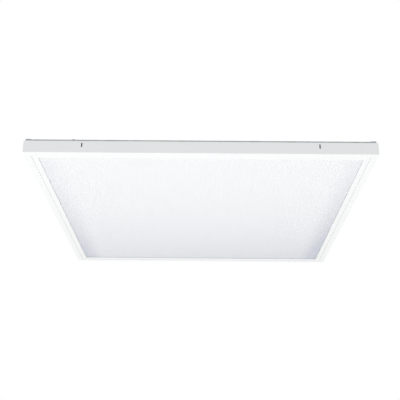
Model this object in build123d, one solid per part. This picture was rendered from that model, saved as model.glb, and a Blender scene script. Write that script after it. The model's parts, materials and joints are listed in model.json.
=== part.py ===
from build123d import *
import os
from math import radians, tan

os.makedirs("parts", exist_ok=True)

# A square light that lies in a ceiling grid: a low steel housing with a hinged lens door below
# and a gear box on its back. Millimetres, X to the right, Y away from the viewer, Z up.
# The origin is the middle of the square lower face, which lies in z = 0.

# Housing frame: four folded rails, mitred at the corners
frame_side = 595.0
frame_height = 22.5
frame_sheet = 0.7
frame_bend = 1.0
lip_width = 11.0
return_width = 12.0
slot_width = 2.0
slot_height = 8.0
slot_inset = 98.0
slot_top_gap = 3.8
corner_leg = 30.0
corner_leg_height = 12.0
corner_sheet = 1.0

# Back cover: a shallow folded tray, screwed to the top of the rails
cover_inset = 2.5
cover_sheet = 0.7
rim_height = 3.0
rim_tab_length = 9.0
rim_mid_tab_length = 4.5
rim_tab_rise = 0.9
rim_tab_inset = 83.0
bead_inset = 82.5
bead_width = 8.0
bead_height = 1.4
screw_inset = 8.0
screw_radius = 1.5
screw_length = 4.5
screw_head_radius = 3.0
screw_head_height = 2.0
screw_head_round = 1.0
screw_middle = 75.0
screw_end_inset = 20.5
screw_hole_gap = 0.2

# Light engine: rows of boards under the back cover, and the reflector round them
board_width = 20.0
board_thickness = 1.0
board_count = 6
chips_on_board = 12
chip_end_inset = 38.5
chip_side = 3.0
chip_height = 0.7
chip_chamfer = 0.35
optic_radius = 7.0
optic_height = 4.5
optic_cavity_radius = 3.2
optic_cavity_height = 1.6
connector_length = 12.0
connector_width = 6.0
connector_height = 4.0
connector_inset = 1.0
reflector_sheet = 0.5
reflector_flange = 16.0
reflector_inset = 73.5
board_end_gap = 4.0
board_row_gap = 14.0
reflector_arm_gap = 1.2
reflector_rivet_x = 120.0

# Blind rivets
rivet_radius = 1.6
rivet_head_radius = 3.2
rivet_head_height = 1.2
rivet_tail_radius = 2.4
rivet_tail_height = 1.2

# Lens door: its own mitred frame, a prismatic sheet and a diffuser film
face_width = 21.9
door_gap = 0.6
door_sheet = 0.7
door_height = 9.0
door_bend = 1.2
hem_width = 4.0
hem_bend = 0.6
lens_thickness = 2.5
lens_gap = 0.8
film_thickness = 0.4
key_leg = 25.0
key_sheet = 1.0
key_gap = 0.5
clip_sheet = 0.4
clip_width = 12.0
clip_reach = 9.2
clip_height = 3.7
clip_place = 100.0

# Hinges and catches of the lens door, which hold on to the rail slots
bracket_sheet = 1.0
bracket_width = 24.0
bracket_low = 4.0
bracket_top_gap = 0.5
bracket_gap = 0.4
arm_width = 10.0
slot_tab_gap = 0.2
slot_tab_end_gap = 0.7
knuckle_radius = 1.8
pin_radius = 1.0
pin_play = 0.05
leaf_overhang = 1.15
knuckle_end_gap = 0.15
leaf_sheet = 0.5
leaf_gap = 0.3
hinge_wall_gap = 0.7
lens_hinge_gap = 0.9
hinge_notch = 16.0
notch_low = 2.0
magnet_length = 16.0
magnet_width = 7.0
magnet_gap = 0.3
strike_width = 18.0
strike_sheet = 1.0
strike_gap = 0.6
arm_over_magnet = 0.6

# Gear box on the back cover
box_length = 260.0
box_width = 84.0
box_height = 29.3
box_beside_board = 10.0
box_sheet = 0.7
box_rivet_inset_x = 12.0
box_rivet_inset_y = 6.5
lid_gap = 0.4
lid_flange = 5.5
lid_lift = 0.2
lid_rear_gap = 0.1
lid_hinge_inset = 45.0
lid_hinge_offset = 2.4
lid_knuckle_radius = 1.9
lid_knuckle = 10.0
lid_outer_knuckle = 6.0
lid_knuckle_gap = 0.3
thumb_screw_radius = 2.0
thumb_screw_head = 5.0
thumb_screw_head_length = 6.0
thumb_screw_chamfer = 1.0
thumb_screw_length = 12.0
thumb_screw_drop = 4.3
thumb_screw_gap = 0.8
thumb_screw_slot_gap = 1.0

# Driver
driver_length = 110.0
driver_width = 50.0
driver_height = 22.0
driver_inset = 50.0
driver_wall = 1.5
driver_ear = 11.0
driver_ear_width = 12.0
driver_ear_height = 2.5
driver_board_lift = 3.0
driver_board_thickness = 1.6
driver_board_gap = 1.5
driver_post_radius = 2.5
driver_post_inset = 6.0
transformer_length = 22.0
transformer_width = 20.0
transformer_height = 12.0
capacitor_radius = 5.0
capacitor_height = 12.0
choke_radius = 6.0
choke_height = 10.0
component_reach_x = 28.0
component_reach_y = 14.0
solder_inset = 10.0

# Terminal block and its levers
pole_count = 3
pole_pitch = 8.0
pole_wall = 1.6
block_inset = 50.0
block_length = 20.0
block_height = 14.0
entry_radius = 2.2
entry_depth = 8.0
entry_height = 4.6
lead_entry_depth = 4.0
lever_length = 14.0
lever_thickness = 1.6
lever_side_gap = 0.2
lever_boss_radius = 1.9
lever_pivot_inset = 3.0
lever_pivot_drop = 2.2
lever_channel_depth = 4.4
lever_lip = 2.0
lever_lip_rise = 1.0
trunnion_radius = 1.2
trunnion_reach = 0.5
trunnion_play = 0.05

# Cable gland
gland_bore = 4.5
gland_thread = 8.0
gland_hex = 11.0
gland_inside = 10.3
gland_collar = 5.0
gland_nut_length = 8.0
gland_nose = 7.0
gland_nose_radius = 7.0
gland_shoulder = 1.5
gland_fingers = 11.0
gland_finger_radius = 7.5
gland_finger_gap = 0.1
gland_mouth_radius = 5.0
locknut_length = 5.0
gland_height = 11.6

# Leads and the grommet that they pass
lead_radius = 0.8
mains_lead_radius = 1.1
lead_hole_gap = 0.2
grommet_inset = 25.0
grommet_bore = 3.2
grommet_neck = 5.0
grommet_flange = 7.0
grommet_flange_height = 1.4
grommet_lead_spread = 1.3
lead_run_share = 0.45
lead_offset = 2.0
jumper_run = 15.0
jumper_bow = 6.0
output_lead_run = 12.0

# Earth screw
earth_before_block = 32.0
earth_rear_inset = 12.0
earth_screw_radius = 2.0
earth_head_radius = 3.8
earth_head_height = 2.6
earth_screw_reach = 1.2
ring_radius = 4.0
ring_sheet = 0.8
crimp_length = 6.0
crimp_wall = 0.5
crimp_run = 14.0
earth_lead_run = 10.0

# Grid clips, and the brackets that the light can hang from
grid_clip_inset = 27.5
grid_clip_end_inset = 97.5
grid_clip_width = 12.0
grid_clip_sheet = 1.0
grid_clip_base = 18.0
grid_clip_arm = 16.0
grid_clip_rise = 18.3
clip_rivet_radius = 2.0
clip_rivet_play = 0.05
clip_rivet_head = 4.5
clip_rivet_head_height = 1.5
clip_rivet_lift = 0.2
hang_inset = 72.5
hang_hole = 2.5
hang_width = 12.0
hang_sheet = 1.0
hang_height = 9.0
hang_inside = 14.0
hang_foot = 7.0

# Extra length of a cut, so that it goes right through
cut_over = 1.0

# The four sides, each the rear side turned about Z by so many degrees
SIDES = {"rear": 0, "left": 90, "front": 180, "right": 270}

# Places that follow from the sizes above
half_side = frame_side / 2
wall_inside = half_side - frame_sheet
slot_x = half_side - slot_inset
slot_high = frame_height - slot_top_gap
slot_low = slot_high - slot_height
cover_half = half_side - cover_inset
cover_top = frame_height + cover_sheet
rim_top = frame_height + rim_height
screw_line = half_side - screw_inset
rim_tab_x = half_side - rim_tab_inset
screw_places = (screw_middle, rim_tab_x, half_side - screw_end_inset)
bead_length = 2 * (half_side - bead_inset)

door_half = half_side - lip_width - door_gap
door_inside = door_half - door_sheet
aperture_half = half_side - face_width
lens_low = 2 * door_sheet
lens_half = door_inside - lens_gap
film_low = lens_low + lens_thickness
film_top = film_low + film_thickness
pivot_y = door_inside - hinge_wall_gap - knuckle_radius
pivot_z = door_sheet + leaf_sheet + leaf_gap + knuckle_radius
outer_knuckle = bracket_width / 2 + leaf_overhang - arm_width / 2 - knuckle_end_gap
lens_rear = pivot_y - knuckle_radius - lens_hinge_gap
arm_low = door_height + bracket_gap
arm_high = arm_low + bracket_sheet
strike_low = film_top + strike_gap
magnet_low = strike_low + strike_sheet + magnet_gap
magnet_edge = door_inside - strike_sheet - strike_gap
arm_end = magnet_edge - magnet_width - arm_over_magnet

board_low = frame_height - board_thickness
reflector_inner = half_side - reflector_inset
board_length = 2 * (reflector_inner - board_end_gap)
first_board_y = -(reflector_inner - board_row_gap - board_width / 2)
board_pitch = -2 * first_board_y / (board_count - 1)
board_rows = [first_board_y + row * board_pitch for row in range(board_count)]
first_chip_x = chip_end_inset - board_length / 2
chip_pitch = -2 * first_chip_x / (chips_on_board - 1)
chip_places = [first_chip_x + place * chip_pitch for place in range(chips_on_board)]
connector_x = -board_length / 2 + connector_inset + connector_length / 2
connector_low = board_low - connector_height
lead_z = board_low - connector_height / 2
reflector_fold = reflector_inner + reflector_flange
reflector_edge = pivot_y - bracket_sheet / 2 - reflector_arm_gap
reflector_low = arm_high + reflector_arm_gap

box_centre_y = board_rows[board_count // 2] + board_width / 2 + box_beside_board
box_floor_top = cover_top + box_sheet
box_top = cover_top + box_height
box_half_x = box_length / 2
box_front = box_centre_y - box_width / 2
box_rear = box_centre_y + box_width / 2
lid_low = box_top + lid_lift
lid_pivot_y = box_rear + lid_hinge_offset
lid_hinge_x = box_half_x - lid_hinge_inset
lid_pivot_z = box_top
lid_front = box_front - lid_gap - box_sheet
lid_rear = box_rear + lid_rear_gap
thumb_screw_z = lid_low - thumb_screw_drop
driver_low_x = driver_inset - box_half_x
driver_high_x = driver_low_x + driver_length
driver_centre_x = (driver_low_x + driver_high_x) / 2
driver_board_low = box_floor_top + driver_wall + driver_board_lift
driver_board_top = driver_board_low + driver_board_thickness
driver_lead_z = driver_board_top + mains_lead_radius
driver_lid_low = box_floor_top + driver_height - driver_wall
block_half_y = (pole_count * pole_pitch + pole_wall) / 2
block_low_x = box_half_x - block_inset
block_high_x = block_low_x + block_length
block_top = box_floor_top + block_height
entry_z = box_floor_top + entry_height
pole_rows = [box_centre_y + (pole - (pole_count - 1) / 2) * pole_pitch for pole in range(pole_count)]
lever_pivot_x = block_high_x - lever_pivot_inset
lever_pivot_z = block_top - lever_pivot_drop
lever_width = pole_pitch - pole_wall - 2 * lever_side_gap
gland_z = box_floor_top + gland_height
grommet_x = grommet_inset - box_half_x
grommet_low = frame_height - grommet_flange_height
grommet_high = box_floor_top + grommet_flange_height
earth_x = block_low_x - earth_before_block
earth_y = box_rear - earth_rear_inset
grid_clip_x = half_side - grid_clip_inset
grid_clip_y = half_side - grid_clip_end_inset
grid_clip_top = cover_top + grid_clip_rise
hang_reach = half_side - hang_inset


def block(x_span, y_span, z_span):
    """A box between a low and a high value on each axis."""
    spans = (x_span, y_span, z_span)
    middle = [(low + high) / 2 for low, high in spans]
    size = [high - low for low, high in spans]
    return Pos(*middle) * Box(*size)


def round_bar(axis, centre, radius, low, high):
    """A cylinder along an axis. The centre is (y, z) along x, (z, x) along y and (x, y) along z."""
    plane = {"x": Plane.YZ, "y": Plane.ZX, "z": Plane.XY}[axis]
    return extrude(plane.offset(low) * Pos(*centre) * Circle(radius), high - low)


def hex_bar(centre, radius, low, high):
    """A six-sided bar along x."""
    return extrude(Plane.YZ.offset(low) * Pos(*centre) * RegularPolygon(radius, 6), high - low)


def outline(*corners):
    """A flat face through corners given as (x, y), or as (x, y, radius) where one is rounded."""
    points = [corner[:2] for corner in corners]
    radii = [corner[2] if len(corner) > 2 else 0 for corner in corners]
    return make_face(FilletPolyline(*points, radius=radii, close=True).edges())


def group(shapes):
    """Separate solids of one kind, kept as one node."""
    return Compound([solid for shape in shapes for solid in shape.solids()])


def write(name, shape):
    export_step(shape, f"parts/{name}.step")


def side_of_square(profile, half_length):
    """A strip along the rear side of a square, mitred at both ends. The profile is in y and z."""
    strip = extrude(Plane.YZ.offset(-half_length) * profile, 2 * half_length)
    mitre = outline((0, 0), (2 * half_length, 2 * half_length), (-2 * half_length, 2 * half_length))
    return strip & extrude(Plane.XY.offset(-cut_over) * mitre, frame_height + 2 * cut_over)


def lead(points, radius):
    """A round lead along straight runs, joined by arcs as large as the runs allow."""
    points = [Vector(*point) for point in points]
    runs = [after - before for before, after in zip(points, points[1:])]
    radii = []
    for run, next_run in zip(runs, runs[1:]):
        half_turn = run.get_angle(next_run) / 2
        shorter = min(run.length, next_run.length)
        radii.append(lead_run_share * shorter / tan(radians(half_turn)))
    path = FilletPolyline(*points, radius=radii)
    return sweep(Plane(points[0], z_dir=runs[0]) * Circle(radius), path=path)


def span(half):
    return (-half, half)


def about(middle, half):
    return (middle - half, middle + half)


def around(shape, sides=SIDES):
    """Copies of a shape on the rear side, turned on to the named sides."""
    return [Rot(0, 0, SIDES[side]) * shape for side in sides]


# Where the fixings go, as (x, y)
side_screws = [sign * place for place in screw_places for sign in (-1, 1)]
cover_screw_spots = [(x, sign * screw_line) for x in side_screws for sign in (-1, 1)]
cover_screw_spots += [(y, x) for x, y in cover_screw_spots]
board_rivet_x = first_chip_x + chip_pitch / 2
board_rivet_spots = [(x, y) for x in (-board_rivet_x, board_rivet_x) for y in board_rows]
flange_middle = reflector_inner + reflector_flange / 2
reflector_rivet_spots = [(x, y) for x in span(reflector_rivet_x) for y in span(flange_middle)]
reflector_rivet_spots += [(y, x) for x, y in reflector_rivet_spots]
box_rivet_x = box_half_x - box_rivet_inset_x
box_rivet_ys = (box_front + box_rivet_inset_y, box_rear - box_rivet_inset_y)
box_rivet_spots = [(x, y) for x in span(box_rivet_x) for y in box_rivet_ys]
driver_rivet_xs = (driver_low_x - driver_ear / 2, driver_high_x + driver_ear / 2)
driver_rivet_spots = [(x, box_centre_y) for x in driver_rivet_xs]
grid_clip_spots = [(x, y) for x in span(grid_clip_x) for y in span(grid_clip_y)]
hang_spots = [(x, y) for x in span(hang_reach) for y in span(hang_reach)]


# ---------------------------------------------------------------- housing frame


def frame_rail(slotted):
    """The rear rail: a C section, open towards the middle, under the screws of the back cover."""
    inner_bend = frame_bend - frame_sheet
    strip = side_of_square(
        outline(
            (half_side - lip_width, 0),
            (half_side, 0, frame_bend),
            (half_side, frame_height, frame_bend),
            (half_side - return_width, frame_height),
            (half_side - return_width, frame_height - frame_sheet),
            (wall_inside, frame_height - frame_sheet, inner_bend),
            (wall_inside, frame_sheet, inner_bend),
            (half_side - lip_width, frame_sheet),
        ),
        half_side,
    )
    wall_cut = (wall_inside - cut_over, half_side + cut_over)
    for x in span(slot_x) if slotted else ():
        strip -= block(about(x, slot_width / 2), wall_cut, (slot_low, slot_high))
    for x in side_screws:
        strip -= round_bar("z", (x, screw_line), screw_radius, slot_high, frame_height + cut_over)
    return strip


def corner_bracket():
    """An L of flat bar, welded inside a corner of the frame."""
    height = (bracket_low, bracket_low + corner_leg_height)
    leg = (wall_inside - corner_leg, wall_inside)
    bar = (wall_inside - corner_sheet, wall_inside)
    return block(leg, bar, height) + block(bar, leg, height)


def back_cover():
    """A folded tray with its rim up, beads between the boards and tabs on its rim."""
    inner_half = cover_half - cover_sheet
    tray = block(span(cover_half), span(cover_half), (frame_height, rim_top))
    tray = fillet(tray.faces().sort_by(Axis.Z)[0].edges(), frame_bend)
    hollow = block(span(inner_half), span(inner_half), (cover_top, rim_top + cut_over))
    tray -= fillet(hollow.faces().sort_by(Axis.Z)[0].edges(), frame_bend - cover_sheet)
    tab_height = (rim_top, rim_top + rim_tab_rise)
    tab_spans = [
        (-cover_half, -cover_half + rim_tab_length),
        (cover_half - rim_tab_length, cover_half),
        about(rim_tab_x, rim_mid_tab_length / 2),
    ]
    for tab_span in tab_spans:
        for tab in around(block(tab_span, (inner_half, cover_half), tab_height)):
            tray += tab
    for y in [row + board_pitch / 2 for row in board_rows[:-1]]:
        if not box_front - bead_width < y < box_rear + bead_width:
            bead = Pos(0, y) * SlotOverall(bead_length, bead_width)
            ridge = extrude(Plane.XY.offset(frame_height) * bead, cover_sheet + bead_height)
            tray += chamfer(ridge.faces().sort_by(Axis.Z)[-1].edges(), cover_sheet)
            groove = Pos(0, y) * SlotOverall(bead_length - 2 * cover_sheet, bead_width - 2 * cover_sheet)
            tray -= extrude(Plane.XY.offset(frame_height) * groove, bead_height)
    holes = [(spot, screw_radius + screw_hole_gap) for spot in cover_screw_spots]
    holes += [(spot, rivet_radius) for spot in board_rivet_spots + reflector_rivet_spots]
    holes += [(spot, rivet_radius) for spot in box_rivet_spots + driver_rivet_spots]
    holes += [(spot, clip_rivet_radius) for spot in grid_clip_spots]
    holes += [((grommet_x, box_centre_y), grommet_neck), ((earth_x, earth_y), earth_screw_radius)]
    for spot, radius in holes:
        tray -= round_bar("z", spot, radius, frame_height - cut_over, cover_top + cut_over)
    return tray


def pan_screw(spot):
    head = round_bar("z", spot, screw_head_radius, cover_top, cover_top + screw_head_height)
    head = fillet(head.faces().sort_by(Axis.Z)[-1].edges(), screw_head_round)
    return head + round_bar("z", spot, screw_radius, cover_top - cover_sheet - screw_length, cover_top)


def blind_rivet(spot, head_seat, tail_seat):
    """A rivet through the sheets between its head and its set tail, whichever is on top."""
    way = 1 if head_seat > tail_seat else -1
    head_end = head_seat + way * rivet_head_height
    tail_end = tail_seat - way * rivet_tail_height
    rivet = round_bar("z", spot, rivet_radius, min(head_seat, tail_seat), max(head_seat, tail_seat))
    rivet += round_bar("z", spot, rivet_head_radius, min(head_seat, head_end), max(head_seat, head_end))
    rivet += round_bar("z", spot, rivet_tail_radius, min(tail_seat, tail_end), max(tail_seat, tail_end))
    return rivet


def blind_rivets():
    rivets = [blind_rivet(spot, board_low, cover_top) for spot in board_rivet_spots]
    flange_seat = frame_height - reflector_sheet
    rivets += [blind_rivet(spot, flange_seat, cover_top) for spot in reflector_rivet_spots]
    rivets += [blind_rivet(spot, box_floor_top, frame_height) for spot in box_rivet_spots]
    ear_top = box_floor_top + driver_ear_height
    rivets += [blind_rivet(spot, ear_top, frame_height) for spot in driver_rivet_spots]
    return rivets


# ---------------------------------------------------------------- light engine


def reflector_side():
    """A white sheet that slopes from beside the boards down to the door, and its flat flange."""
    strip = side_of_square(
        outline(
            (reflector_inner, frame_height),
            (reflector_fold, frame_height),
            (reflector_edge, reflector_low + reflector_sheet),
            (reflector_edge, reflector_low),
            (reflector_fold, frame_height - reflector_sheet),
            (reflector_inner, frame_height - reflector_sheet),
        ),
        half_side,
    )
    for x in span(reflector_rivet_x):
        strip -= round_bar("z", (x, flange_middle), rivet_radius, reflector_low, frame_height + cut_over)
    return strip


def led_board(row_y):
    board = block(span(board_length / 2), about(row_y, board_width / 2), (board_low, frame_height))
    for x in span(board_rivet_x):
        board -= round_bar("z", (x, row_y), rivet_radius, board_low - cut_over, frame_height + cut_over)
    return board


def led_chip():
    chip = block(span(chip_side / 2), span(chip_side / 2), (board_low - chip_height, board_low))
    return chamfer(chip.edges().filter_by(Axis.Z), chip_chamfer)


def led_optic():
    """A clear dome on the board with a hollow for its chip."""
    curve_radius = (optic_radius**2 + optic_height**2) / (2 * optic_height)
    dome_centre = board_low - optic_height + curve_radius
    below_board = block(span(curve_radius), span(curve_radius), (board_low - optic_height, board_low))
    dome = Pos(0, 0, dome_centre) * Sphere(curve_radius) & below_board
    cavity_top = board_low + cut_over
    return dome - round_bar("z", (0, 0), optic_cavity_radius, board_low - optic_cavity_height, cavity_top)


def on_each_chip_place(shape):
    return [Pos(x, y) * shape for y in board_rows for x in chip_places]


def connector(row_y):
    return block(
        about(connector_x, connector_length / 2),
        about(row_y, connector_width / 2),
        (connector_low, board_low),
    )


def jumper(offset, lower_y):
    """A lead from one board's connector to the next, with a little slack to one side."""
    x = connector_x + offset
    start_y = lower_y + connector_width / 2
    end_y = lower_y + board_pitch - connector_width / 2
    middle_y = (start_y + end_y) / 2
    points = [
        (x, start_y, lead_z),
        (x, start_y + jumper_run, lead_z),
        (x + jumper_bow, middle_y, lead_z),
        (x, end_y - jumper_run, lead_z),
        (x, end_y, lead_z),
    ]
    return lead(points, lead_radius)


def output_lead(side):
    """The lead from the driver, down through the grommet and along to a board's connector.

    The side is -1 for the lead nearer the viewer and 1 for the other one."""
    row_y = max(row for row in board_rows if row < box_centre_y)
    y = box_centre_y + side * grommet_lead_spread
    end_y = row_y + side * (connector_width / 2 - 2 * lead_radius)
    end_x = connector_x + connector_length / 2
    turn_x = end_x + output_lead_run - (1 + side) * grommet_lead_spread
    slope = y - end_y
    driver_z = driver_board_top + lead_radius
    points = [
        (driver_low_x + solder_inset, y, driver_z),
        (grommet_x, y, driver_z),
        (grommet_x, y, lead_z),
        (turn_x + slope, y, lead_z),
        (turn_x, end_y, lead_z),
        (end_x, end_y, lead_z),
    ]
    return lead(points, lead_radius)


def dc_leads(offset, side):
    return [jumper(offset, row) for row in board_rows[:-1]] + [output_lead(side)]


def lead_grommet():
    spot = (grommet_x, box_centre_y)
    ring = round_bar("z", spot, grommet_flange, grommet_low, frame_height)
    ring += round_bar("z", spot, grommet_neck, frame_height, box_floor_top)
    ring += round_bar("z", spot, grommet_flange, box_floor_top, grommet_high)
    return ring - round_bar("z", spot, grommet_bore, grommet_low - cut_over, grommet_high + cut_over)


# ---------------------------------------------------------------- gear box


def gear_box_tray():
    """An open box on the back cover, with the fixed knuckles of its cover behind it."""
    sides = (box_front, box_rear)
    inner_sides = (box_front + box_sheet, box_rear - box_sheet)
    tray = block(span(box_half_x), sides, (cover_top, box_top))
    tray -= block(span(box_half_x - box_sheet), inner_sides, (box_floor_top, box_top + cut_over))
    holes = [(spot, rivet_radius) for spot in box_rivet_spots + driver_rivet_spots]
    holes += [((grommet_x, box_centre_y), grommet_neck), ((earth_x, earth_y), earth_screw_radius)]
    for spot, radius in holes:
        tray -= round_bar("z", spot, radius, cover_top - cut_over, box_floor_top + cut_over)
    end_cut = (box_half_x - box_sheet - cut_over, box_half_x + cut_over)
    tray -= round_bar("x", (box_centre_y, gland_z), gland_thread, *end_cut)
    front_cut = (box_front - cut_over, box_front + box_sheet + cut_over)
    tray -= round_bar("y", (thumb_screw_z, 0), thumb_screw_radius, *front_cut)
    strap_low = lid_pivot_z - lid_knuckle_radius
    for x in span(lid_hinge_x):
        width = about(x, lid_knuckle / 2)
        tray += block(width, (box_rear, lid_pivot_y), (strap_low, strap_low + box_sheet))
        tray += round_bar("x", (lid_pivot_y, lid_pivot_z), lid_knuckle_radius, *width)
        tray -= round_bar("x", (lid_pivot_y, lid_pivot_z), pin_radius + pin_play, *width)
    return tray


def lid_outer_knuckles():
    """The stretches along x of the cover's own knuckles, two at each hinge."""
    inner = lid_knuckle / 2 + lid_knuckle_gap
    outer = inner + lid_outer_knuckle
    beside = ((-outer, -inner), (inner, outer))
    return [(x + low, x + high) for x in span(lid_hinge_x) for low, high in beside]


def gear_box_cover():
    """A lid over the tray: a plate, three flanges outside the walls, and knuckles behind."""
    outer_x = box_half_x + lid_gap + box_sheet
    inner_x = outer_x - box_sheet
    lid = block(span(outer_x), (lid_front, lid_rear), (lid_low - lid_flange, lid_low + box_sheet))
    lid -= block(
        span(inner_x),
        (lid_front + box_sheet, lid_rear + cut_over),
        (lid_low - lid_flange - cut_over, lid_low),
    )
    slot_half = thumb_screw_radius + thumb_screw_slot_gap
    front_cut = (lid_front - cut_over, lid_front + box_sheet + cut_over)
    lid -= block(span(slot_half), front_cut, (lid_low - lid_flange - cut_over, thumb_screw_z))
    lid -= round_bar("y", (thumb_screw_z, 0), slot_half, *front_cut)
    for width in lid_outer_knuckles():
        lid += block(width, (lid_rear, lid_pivot_y), (lid_low, lid_low + box_sheet))
        lid += round_bar("x", (lid_pivot_y, lid_pivot_z), lid_knuckle_radius, *width)
        lid -= round_bar("x", (lid_pivot_y, lid_pivot_z), pin_radius, *width)
    return lid


def cover_hinge_pin(x):
    half = lid_knuckle / 2 + lid_knuckle_gap + lid_outer_knuckle
    return round_bar("x", (lid_pivot_y, lid_pivot_z), pin_radius, *about(x, half))


def cover_screw():
    """A thumb screw in the tray's front wall. The cover's open slot slips up past it."""
    head_end = lid_front - thumb_screw_gap
    head = round_bar("y", (thumb_screw_z, 0), thumb_screw_head, head_end - thumb_screw_head_length, head_end)
    head = chamfer(head.edges().filter_by(GeomType.CIRCLE), thumb_screw_chamfer)
    shank_end = head_end + thumb_screw_length
    return head + round_bar("y", (thumb_screw_z, 0), thumb_screw_radius, head_end, shank_end)


def driver_case():
    """The open lower shell of the driver, with posts for its board and an ear at each end."""
    length = (driver_low_x, driver_high_x)
    width = about(box_centre_y, driver_width / 2)
    floor = box_floor_top + driver_wall
    case = block(length, width, (box_floor_top, driver_lid_low))
    case -= block(
        (driver_low_x + driver_wall, driver_high_x - driver_wall),
        about(box_centre_y, driver_width / 2 - driver_wall),
        (floor, driver_lid_low + cut_over),
    )
    for x in about(driver_centre_x, driver_length / 2 - driver_wall - driver_post_inset):
        for y in about(box_centre_y, driver_width / 2 - driver_wall - driver_post_inset):
            case += round_bar("z", (x, y), driver_post_radius, floor, driver_board_low)
    ear_height = (box_floor_top, box_floor_top + driver_ear_height)
    ear_width = about(box_centre_y, driver_ear_width / 2)
    case += block((driver_low_x - driver_ear, driver_low_x), ear_width, ear_height)
    case += block((driver_high_x, driver_high_x + driver_ear), ear_width, ear_height)
    for spot in driver_rivet_spots:
        case -= round_bar("z", spot, rivet_radius, box_floor_top, box_floor_top + driver_ear_height)
    for side in (-1, 1):
        centre = (box_centre_y + side * grommet_lead_spread, driver_board_top + lead_radius)
        wall = (driver_low_x - cut_over, driver_low_x + driver_wall + cut_over)
        case -= round_bar("x", centre, lead_radius + lead_hole_gap, *wall)
    for y in pole_rows[:2]:
        wall = (driver_high_x - driver_wall - cut_over, driver_high_x + cut_over)
        case -= round_bar("x", (y, driver_lead_z), mains_lead_radius + lead_hole_gap, *wall)
    return case


def driver_lid():
    return block(
        (driver_low_x, driver_high_x),
        about(box_centre_y, driver_width / 2),
        (driver_lid_low, driver_lid_low + driver_wall),
    )


def driver_board():
    clear = driver_wall + driver_board_gap
    return block(
        (driver_low_x + clear, driver_high_x - clear),
        about(box_centre_y, driver_width / 2 - clear),
        (driver_board_low, driver_board_top),
    )


def driver_components():
    """A transformer, a choke and two capacitors on the driver's board."""
    middle = (driver_centre_x, box_centre_y)
    parts = [
        block(
            about(middle[0], transformer_length / 2),
            about(middle[1], transformer_width / 2),
            (driver_board_top, driver_board_top + transformer_height),
        )
    ]
    for side in (-1, 1):
        spot = (middle[0] - component_reach_x, middle[1] + side * component_reach_y)
        parts.append(
            round_bar("z", spot, capacitor_radius, driver_board_top, driver_board_top + capacitor_height)
        )
    spot = (middle[0] + component_reach_x, middle[1] + component_reach_y)
    parts.append(round_bar("z", spot, choke_radius, driver_board_top, driver_board_top + choke_height))
    return parts


def terminal_block():
    """A block with a wire entry on each side of every pole, and a channel for each lever."""
    channel = (pole_pitch - pole_wall) / 2
    body = block(
        (block_low_x, block_high_x),
        about(box_centre_y, block_half_y),
        (box_floor_top, block_top),
    )
    for y in pole_rows:
        body -= block(
            (block_low_x - cut_over, block_high_x + cut_over),
            about(y, channel),
            (block_top - lever_channel_depth, block_top + cut_over),
        )
        socket = about(y, channel + trunnion_reach + trunnion_play)
        body -= round_bar("y", (lever_pivot_z, lever_pivot_x), trunnion_radius + trunnion_play, *socket)
        body -= round_bar("x", (y, entry_z), entry_radius, block_high_x - entry_depth, block_high_x)
        body -= round_bar("x", (y, entry_z), mains_lead_radius, block_low_x, block_low_x + lead_entry_depth)
    return body


def terminal_lever(row_y):
    """A lever that lies shut in its channel, on two trunnions, with a lip to lift it by."""
    width = about(row_y, lever_width / 2)
    top = lever_pivot_z + lever_boss_radius
    tail_end = lever_pivot_x - lever_length
    pivot = (lever_pivot_z, lever_pivot_x)
    shape = round_bar("y", pivot, lever_boss_radius, *width)
    shape += block((tail_end, lever_pivot_x), width, (top - lever_thickness, top))
    shape += block((tail_end, tail_end + lever_lip), width, (top, top + lever_lip_rise))
    reach = lever_width / 2 + lever_side_gap + trunnion_reach
    return shape + round_bar("y", pivot, trunnion_radius, *about(row_y, reach))


def cable_gland_body():
    centre = (box_centre_y, gland_z)
    inner_end = box_half_x - box_sheet - gland_inside
    collar_end = box_half_x + gland_collar
    outer_end = collar_end + gland_fingers
    body = round_bar("x", centre, gland_thread, inner_end, box_half_x)
    body += hex_bar(centre, gland_hex, box_half_x, collar_end)
    body += round_bar("x", centre, gland_finger_radius, collar_end, outer_end)
    return body - round_bar("x", centre, gland_bore, inner_end - cut_over, outer_end + cut_over)


def gland_dome_nut():
    """A hexagon nut with a round nose, over the clamping fingers of the gland."""
    centre = (box_centre_y, gland_z)
    start = box_half_x + gland_collar
    nose = start + gland_nut_length
    end = nose + gland_nose
    nut = hex_bar(centre, gland_hex, start, nose)
    nose_base = Plane.YZ.offset(nose) * Pos(*centre) * Circle(gland_finger_radius + gland_shoulder)
    nose_end = Plane.YZ.offset(end) * Pos(*centre) * Circle(gland_nose_radius)
    nut += loft([nose_base.face(), nose_end.face()])
    fingers_end = start + gland_fingers + gland_finger_gap
    nut -= round_bar("x", centre, gland_finger_radius + gland_finger_gap, start, fingers_end)
    return nut - round_bar("x", centre, gland_mouth_radius, start, end + cut_over)


def gland_locknut():
    centre = (box_centre_y, gland_z)
    wall = box_half_x - box_sheet
    nut = hex_bar(centre, gland_hex, wall - locknut_length, wall)
    return nut - round_bar("x", centre, gland_thread, wall - locknut_length, wall)


def mains_lead(row_y):
    """A lead from the driver's board to the back of the terminal block."""
    gap = block_low_x - driver_high_x
    points = [
        (driver_high_x - solder_inset, row_y, driver_lead_z),
        (driver_high_x + gap / 3, row_y, driver_lead_z),
        (driver_high_x + gap * 2 / 3, row_y, entry_z),
        (block_low_x + lead_entry_depth, row_y, entry_z),
    ]
    return lead(points, mains_lead_radius)


def crimp_z():
    return box_floor_top + mains_lead_radius + crimp_wall


def earth_lead():
    """A lead from the terminal block to the ring under the earth screw."""
    row_y = pole_rows[-1]
    ring_edge = earth_x + ring_radius
    points = [
        (block_low_x + lead_entry_depth, row_y, entry_z),
        (block_low_x - earth_lead_run, row_y, entry_z),
        (ring_edge + crimp_run, earth_y, crimp_z()),
        (ring_edge, earth_y, crimp_z()),
    ]
    return lead(points, mains_lead_radius)


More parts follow.
